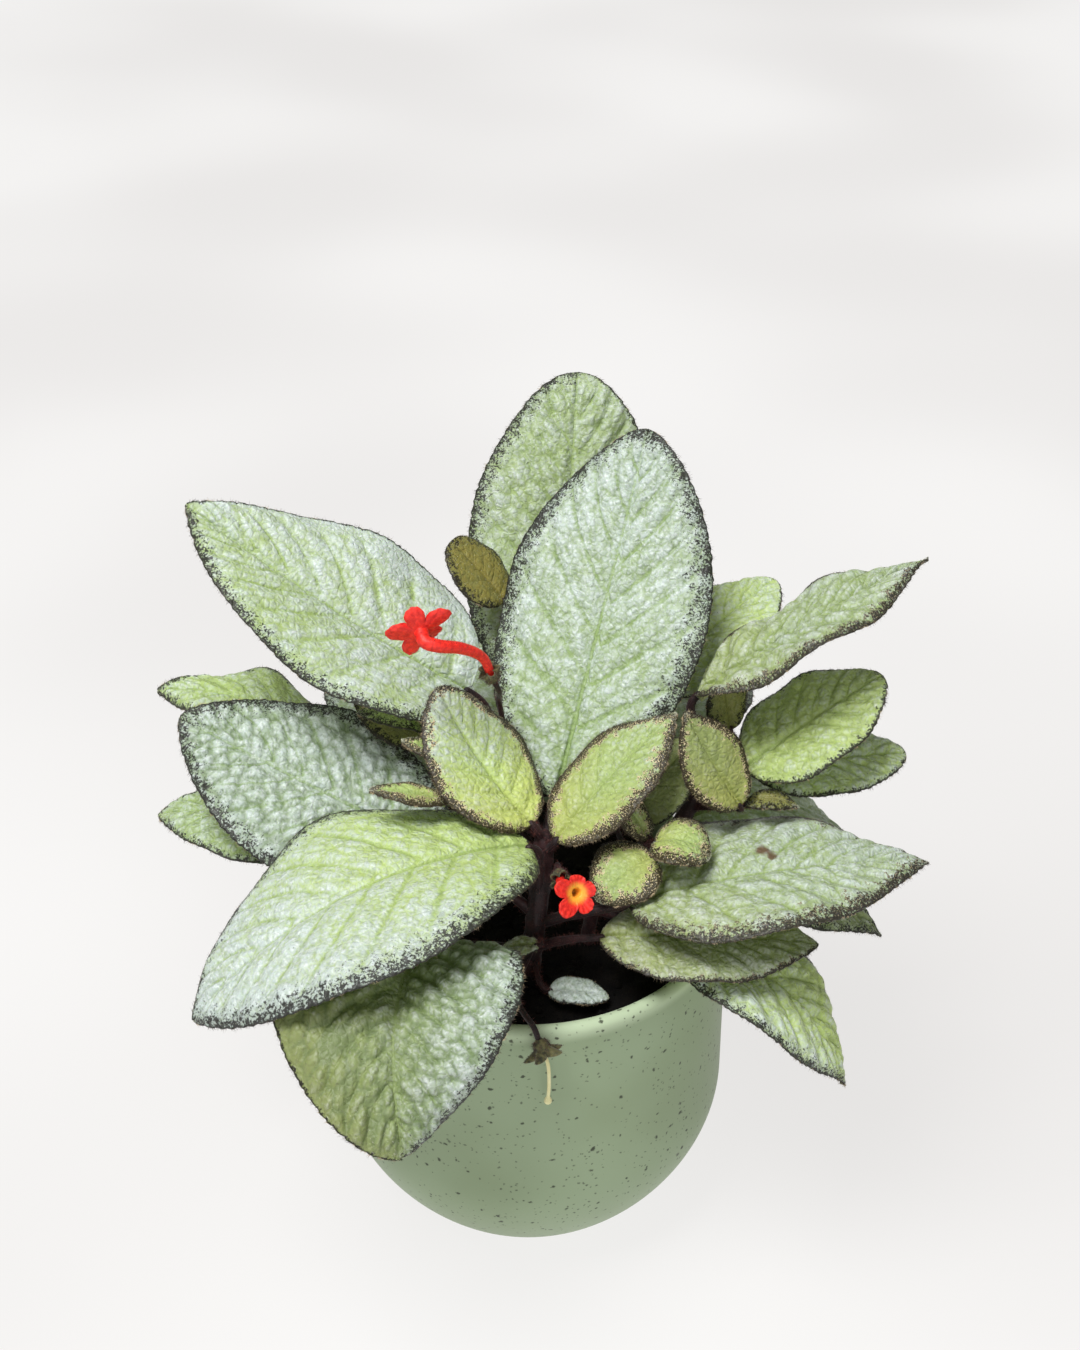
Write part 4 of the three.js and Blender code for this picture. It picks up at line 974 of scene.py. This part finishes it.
# The flower: a curved tube that widens to its throat, then the open lobes with their ruffled rims, each
# stretched and bent its own way, in full at its outer edge.
def makeFlower(name):
    flower, shape, rng = flowers[name], Shape(), np.random.default_rng(60 + len(name))
    steps, limbRings, sides = 40, 46, 100
    wide, throat, cleft = flower["lobes"], flowerSizes["throat"], flower["cleft"]
    path = curveThrough(flower["tube"], steps)
    tangent = unit(np.gradient(path, axis=0))
    radius = flowerSizes["tube"] + (throat - flowerSizes["tube"]) * np.linspace(0, 1, steps + 1)
    angle = fullTurn(sides)
    normal, binormal = axes(tangent)
    turn = angle[None, :, None]
    spokes = normal[:, None] * np.cos(turn) + binormal[:, None] * np.sin(turn)
    tube = path[:, None] + radius[:, None, None] * spokes
    # out over the back of the lobes, round their rims, in over the front and down into the throat
    section = [(0.1, throat, 0, 0.6), (0.5, 0.5 * wide, 0.55 * cleft, 0.6),
               (0.9, 0.85 * wide, 0.9 * cleft, 0.6), (1.5, wide, cleft, 0.6),
               (1.9, 0.97 * wide, cleft, 0.6), (1.7, 0.6 * wide, 0.65 * cleft, 0.6),
               (1.0, 0.7 * throat, 0, 1), (-0.8, 0.5 * throat, 0, 1), (-2.0, 0.35 * throat, 0, 1)]
    centre = path[-1]
    ahead = tangent[-1]
    limb, reach = lobedRings(centre, ahead, section, limbRings, sides, ruffle=0.35)
    out = (reach / wide) ** 2
    stretch = 1 + (betweenLobes(flower["reach"], angle)[None] - 1) * np.minimum(out, 1)
    bend = betweenLobes(flower["bend"], angle)[None] * out
    axis = centre + ((limb - centre) @ ahead)[..., None] * ahead
    limb = axis + (limb - axis) * stretch[..., None] + bend[..., None] * ahead
    # the paint's distance to the axis, out of reach on the tube, and its inner face
    spread = np.concatenate([np.full((steps + 1, sides), 9.0), reach])
    inside = np.broadcast_to(ease(np.arange(limbRings), 20, 25)[:, None], reach.shape)
    inside = np.concatenate([np.zeros((steps + 1, sides)), inside])
    addSkin(shape, np.concatenate([tube, limb]), spread=np.stack([spread, spread * 0, inside], -1))
    hairRings(shape, tube, (2, steps), flowerSizes["tubeHairs"], (0.4, 0.9), rng, radius=0.04)
    shape.build("corolla_" + name, [petal, redHair], "flower", "flower_" + name)


# A pale thread along its curve, with a round knob at its end.
def makeStyle():
    shape, steps = Shape(), 50
    thin, knob = flowerSizes["style"], flowerSizes["stigma"]
    path = curveThrough(flowers["spent"]["tube"], steps)
    addTube(shape, path, thin + (knob - thin) * ease(np.linspace(0, 1, steps + 1), 0.9, 1.0), 16)
    shape.build("thread_spent", [styleSkin], "style", "style_spent")


for name in flowers:
    makeCalyx(name)
makeFlower("left")
makeFlower("front")
makeStyle()
print("flowers made")


# Pot

# Lengths in mm, but the lip's fade in metres: the heights between which the glaze turns paler, a painted
# highlight on the lip.
pot = dict(radius=59.5, rim=58.5, foot=35, height=109, belly=46, footHandle=(3.6, 3.4), wallHandle=23,
           wall=4.2, floor=6, sides=128, glaze=(colour(142, 158, 126), colour(152, 169, 138)),
           lip=colour(182, 198, 166), lipHighlightFade=(0.1035, 0.1075), speck=colour(48, 50, 40))
# Three layers of specks: cells per metre, the share of cells that hold one, where its edge begins and ends in
# cells, and its strength.
specks = ((620, 0.5, 0.12, 0.26, 0.6), (330, 0.36, 0.1, 0.24, 0.85), (150, 0.2, 0.06, 0.15, 0.9))


# The pot's half section, drawn inwards by inset: a Bezier belly from the foot up, then the wall, which leans
# in evenly to the rim.
def bodySection(inset, floor, top):
    lean = (pot["radius"] - pot["rim"]) / (pot["height"] - pot["belly"])
    foot, radius = pot["foot"] - inset, pot["radius"] - inset
    corners = [(foot, floor), (foot + pot["footHandle"][0], floor + pot["footHandle"][1]),
               (radius + lean * pot["wallHandle"], pot["belly"] - pot["wallHandle"]), (radius, pot["belly"])]
    belly = bezier(*np.array(corners, float), 36)
    wall = np.linspace(pot["belly"], top, 22)[1:]
    return np.vstack([belly, np.stack([radius - lean * (wall - pot["belly"]), wall], -1)])


# Turns a section of (radius, height) about the vertical axis and closes it on the axis.
def addTurned(shape, section, sides):
    angle = fullTurn(sides)
    r, z = section[:, :1], section[:, 1:]
    addSkin(shape, np.stack([r * np.cos(angle), r * np.sin(angle), z + 0 * angle], -1))


# Sage in two soft tones, with a painted highlight that pales the lip by height. A speck shows where a ragged
# distance to a cell's seed is small and the cell's own number, with a patchy noise added, is high.
def glazePaint():
    p = Paint("glaze")
    at = p.place()
    cloud = p.noise(at, 22, 2)
    grain = p.noise(at, 900, 2)
    patch = p.noise(at, 55, 3, 0.6)
    stray = p.node("ShaderNodeTexNoise", None, {"Vector": at, "Scale": 500.0}, 1)
    stray = p.node("ShaderNodeVectorMath", {"operation": "SCALE"}, {0: stray, "Scale": 0.0018})
    warped = p.node("ShaderNodeVectorMath", {"operation": "ADD"}, {0: at, 1: stray})
    dull, light = pot["glaze"]
    # the lip's paler colour is a painted highlight along the rim
    skin = p.layers(dull, (cloud.step(0.3, 0.7), light), (at.split()[2].step(*pot["lipHighlightFade"]), pot["lip"]))
    for scale, share, begins, ends, strength in specks:
        ragged = p.cells(warped, scale) + (grain - 0.5) * 0.12
        number = p.node("ShaderNodeSeparateColor", None, {0: p.cells(warped, scale, output=1)})
        picked = (number + (patch - 0.5) * 1.6).step(1 - share, 1.02 - share)
        skin = p.layers(skin, ((1 - ragged.step(begins, ends)) * picked * strength, pot["speck"]))
    return p.finish(skin, grain * 0.03, roughness=0.45, specular_ior_level=0.15)


# The section runs from the foot up the outside, over a half-round lip and down the inside to the floor.
def makePot():
    shape = Shape()
    lip = pot["wall"] / 2
    shoulder = pot["height"] - lip
    outside = bodySection(0, 0, shoulder)
    inside = bodySection(pot["wall"], pot["floor"], shoulder)[::-1]
    turn = np.linspace(0, np.pi, 14)[1:-1]
    rolled = np.stack([outside[-1, 0] - lip + lip * np.cos(turn), shoulder + lip * np.sin(turn)], -1)
    foot = np.array([(pot["foot"] - 14, 0.0), (pot["foot"] - 1.2, 0.0), (pot["foot"], 0.35)])
    addTurned(shape, np.vstack([foot, outside[2:], rolled, inside]), pot["sides"])
    shape.build("planter", [glazePaint()], "glaze", "pot")


makePot()
print("pot made")


# Soil

# Lengths in mm, the surface's grid, and how many crumbs and fibres are scattered on it.
soil = dict(level=99, mound=2.5, lump=0.7, gap=0.3, rings=72, sides=168, crumbs=480, fibres=70, fibre=0.16,
            scatter=45)


# Near black in clods, with fine brown grains: dark peat, made darker still as painted shade under the leaves.
def soilPaint():
    p = Paint("peat")
    at = p.place()
    clod = p.noise(at, 260, 4, 0.7)
    grain = p.noise(at, 1400, 3, 0.7)
    skin = p.layers(
        colour(4, 3, 3),
        (clod.step(0.35, 0.7), colour(18, 14, 11)),
        (grain.step(0.62, 0.8) * 0.5, colour(52, 42, 33)),
    )
    return p.finish(skin, clod * 0.6 + grain * 0.4, roughness=0.95, specular_ior_level=0.2)


# The surface: a low mound with lumps, roughened by noise at two sizes.
def soilHeight(x, y):
    mound = soil["mound"] * np.maximum(0, 1 - (x * x + y * y) / pot["rim"] ** 2)
    lumps = np.sin(0.31 * x + 0.9) * np.cos(0.27 * y) + 0.6 * np.sin(0.55 * x - 0.48 * y)
    rough = 1.6 * softNoise(x + 200, y + 200, 4, 3) + 0.9 * softNoise(x + 200, y + 200, 1.7, 4) - 1.25
    return soil["level"] + mound + soil["lump"] * lumps + rough


# Peat fills the pot: the pot's inner section with a gap, then the surface in rings to the middle. Crumbs are
# small uneven balls, pressed in by part of their size, and fibres thin short tubes that lie on the surface.
def makeSoil():
    shape, rng = Shape(), np.random.default_rng(5)
    below = bodySection(pot["wall"] + soil["gap"], pot["floor"] + soil["gap"], soil["level"])[::3]
    edge = below[-1, 0]
    angle = fullTurn(soil["sides"])[None]
    r = np.concatenate([below[:, 0], edge * np.linspace(1, 0.01, soil["rings"])[1:]])[:, None]
    x, y = r * np.cos(angle), r * np.sin(angle)
    z = soilHeight(x, y)
    z[:len(below)] = below[:, 1:]
    addSkin(shape, np.stack([x, y, z], -1))
    count = soil["crumbs"]
    reach, turn = edge * np.sqrt(rng.random(count)) * 0.985, rng.random(count) * 2 * np.pi
    x, y = reach * np.cos(turn), reach * np.sin(turn)
    size = 0.5 + 1.3 * rng.random(count) ** 3
    place = np.stack([x, y, soilHeight(x, y) + size * 0.15], -1)
    phi, theta = np.meshgrid(np.linspace(0, np.pi, 6), fullTurn(6), indexing="ij")
    ball = np.stack([np.sin(phi) * np.cos(theta), np.sin(phi) * np.sin(theta), np.cos(phi)], -1)
    for k in range(count):
        bumpy = ball * rng.uniform(0.7, 1.25, (6, 6, 1)) * rng.uniform(0.6, 1.2, 3)
        bumpy[0], bumpy[-1] = bumpy[0].mean(0), bumpy[-1].mean(0)
        shape.add(place[k] + bumpy * size[k], gridQuads(6, 6, closed=True, flipped=True))
    s = np.linspace(0, 1, 8)[:, None]
    for k in range(soil["fibres"]):
        a = rng.random() * 2 * np.pi
        start = np.append(rng.uniform(-soil["scatter"], soil["scatter"], 2), 0)
        if np.hypot(*start[:2]) > soil["scatter"] + 1:
            continue
        line = np.hstack([np.cos(a + s * rng.normal(0, 0.8)) * s, np.sin(a) * s, 0 * s])
        line = start + line * rng.uniform(3, 8)
        line[:, 2] = soilHeight(line[:, 0], line[:, 1]) + 0.25
        addTube(shape, line, soil["fibre"], 5)
    shape.build("peat_fill", [soilPaint()], "soil", "soil")


makeSoil()
print("soil made")


# Floor, lights and camera

# Lengths in metres, power in watts; sky and glow are strengths of light.
studio = dict(floor=6.0, sky=0.28, glow=0.84)
lamps = dict(key=dict(place=(-0.4, -0.35, 1.5), target=(0, 0, 0.12), size=0.7, power=23.0),
             fill=dict(place=(0.1, -1.5, 0.55), target=(0, 0, 0.1), size=0.9, power=5.0))


# A flat square that glows a little, so that it stays pale between the lights; the glow is dimmer in faint
# broad clouds, painted soft shadows.
def makeFloor():
    half = studio["floor"] / 2
    corners = [(-half, -half, 0), (half, -half, 0), (half, half, 0), (-half, half, 0)]
    mesh = bpy.data.meshes.new("floor")
    mesh.from_pydata(corners, [], [(0, 1, 2, 3)])
    p = Paint("floorPaint")
    cloud = p.noise(p.place(), 2.4, 1)
    light = p.layers((0.9, 0.885, 0.875, 1), (cloud.step(0.35, 0.65), (1.0, 0.99, 0.98, 1)))
    mesh.materials.append(p.finish(colour(88, 87, 86), roughness=0.9, specular_ior_level=0.0,
                                   emission_color=light, emission_strength=studio["glow"]))
    addObject("floor", mesh)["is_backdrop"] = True


# A round area lamp that looks at its target.
def makeLamp(name, place, target, size, power):
    light = bpy.data.lights.new(name, "AREA")
    light.shape, light.size, light.energy = "DISK", size, power
    lamp = addObject(name, light)
    lamp.location = place
    lamp.rotation_euler = (Vector(target) - Vector(place)).to_track_quat("-Z", "Y").to_euler()


# An even, faintly warm light from all round.
def makeSky():
    world = bpy.data.worlds.new("sky")
    world.use_nodes = True
    background = world.node_tree.nodes["Background"].inputs
    background["Color"].default_value = (1.0, 0.995, 0.985, 1)
    background["Strength"].default_value = studio["sky"]
    bpy.context.scene.world = world


# The view looks down at 33 degrees from in front, from a place in mm. focal is in pixels of the picture's
# longer side, and film is that side in mm.
shot = dict(place=(3.55, -421.3, 462.5), look=(0, 0.835, -0.550), focal=1858, side=1350, film=36)


def makeCamera():
    lens = bpy.data.cameras.new("camera")
    lens.sensor_width = shot["film"]
    lens.lens = shot["film"] * shot["focal"] / shot["side"]
    lens.clip_start = 0.01
    camera = addObject("camera", lens)
    camera.location = Vector(shot["place"]) * mm
    camera.rotation_euler = Vector(shot["look"]).to_track_quat("-Z", "Y").to_euler()
    bpy.context.scene.camera = camera


makeFloor()
for name, lamp in lamps.items():
    makeLamp(name, **lamp)
makeSky()
makeCamera()
bpy.context.scene.view_settings.view_transform = "Standard"
print("stage ready")

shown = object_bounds()
{"cad": [list(corner) for corner in cadBox], "shown": [list(corner) for corner in shown]}
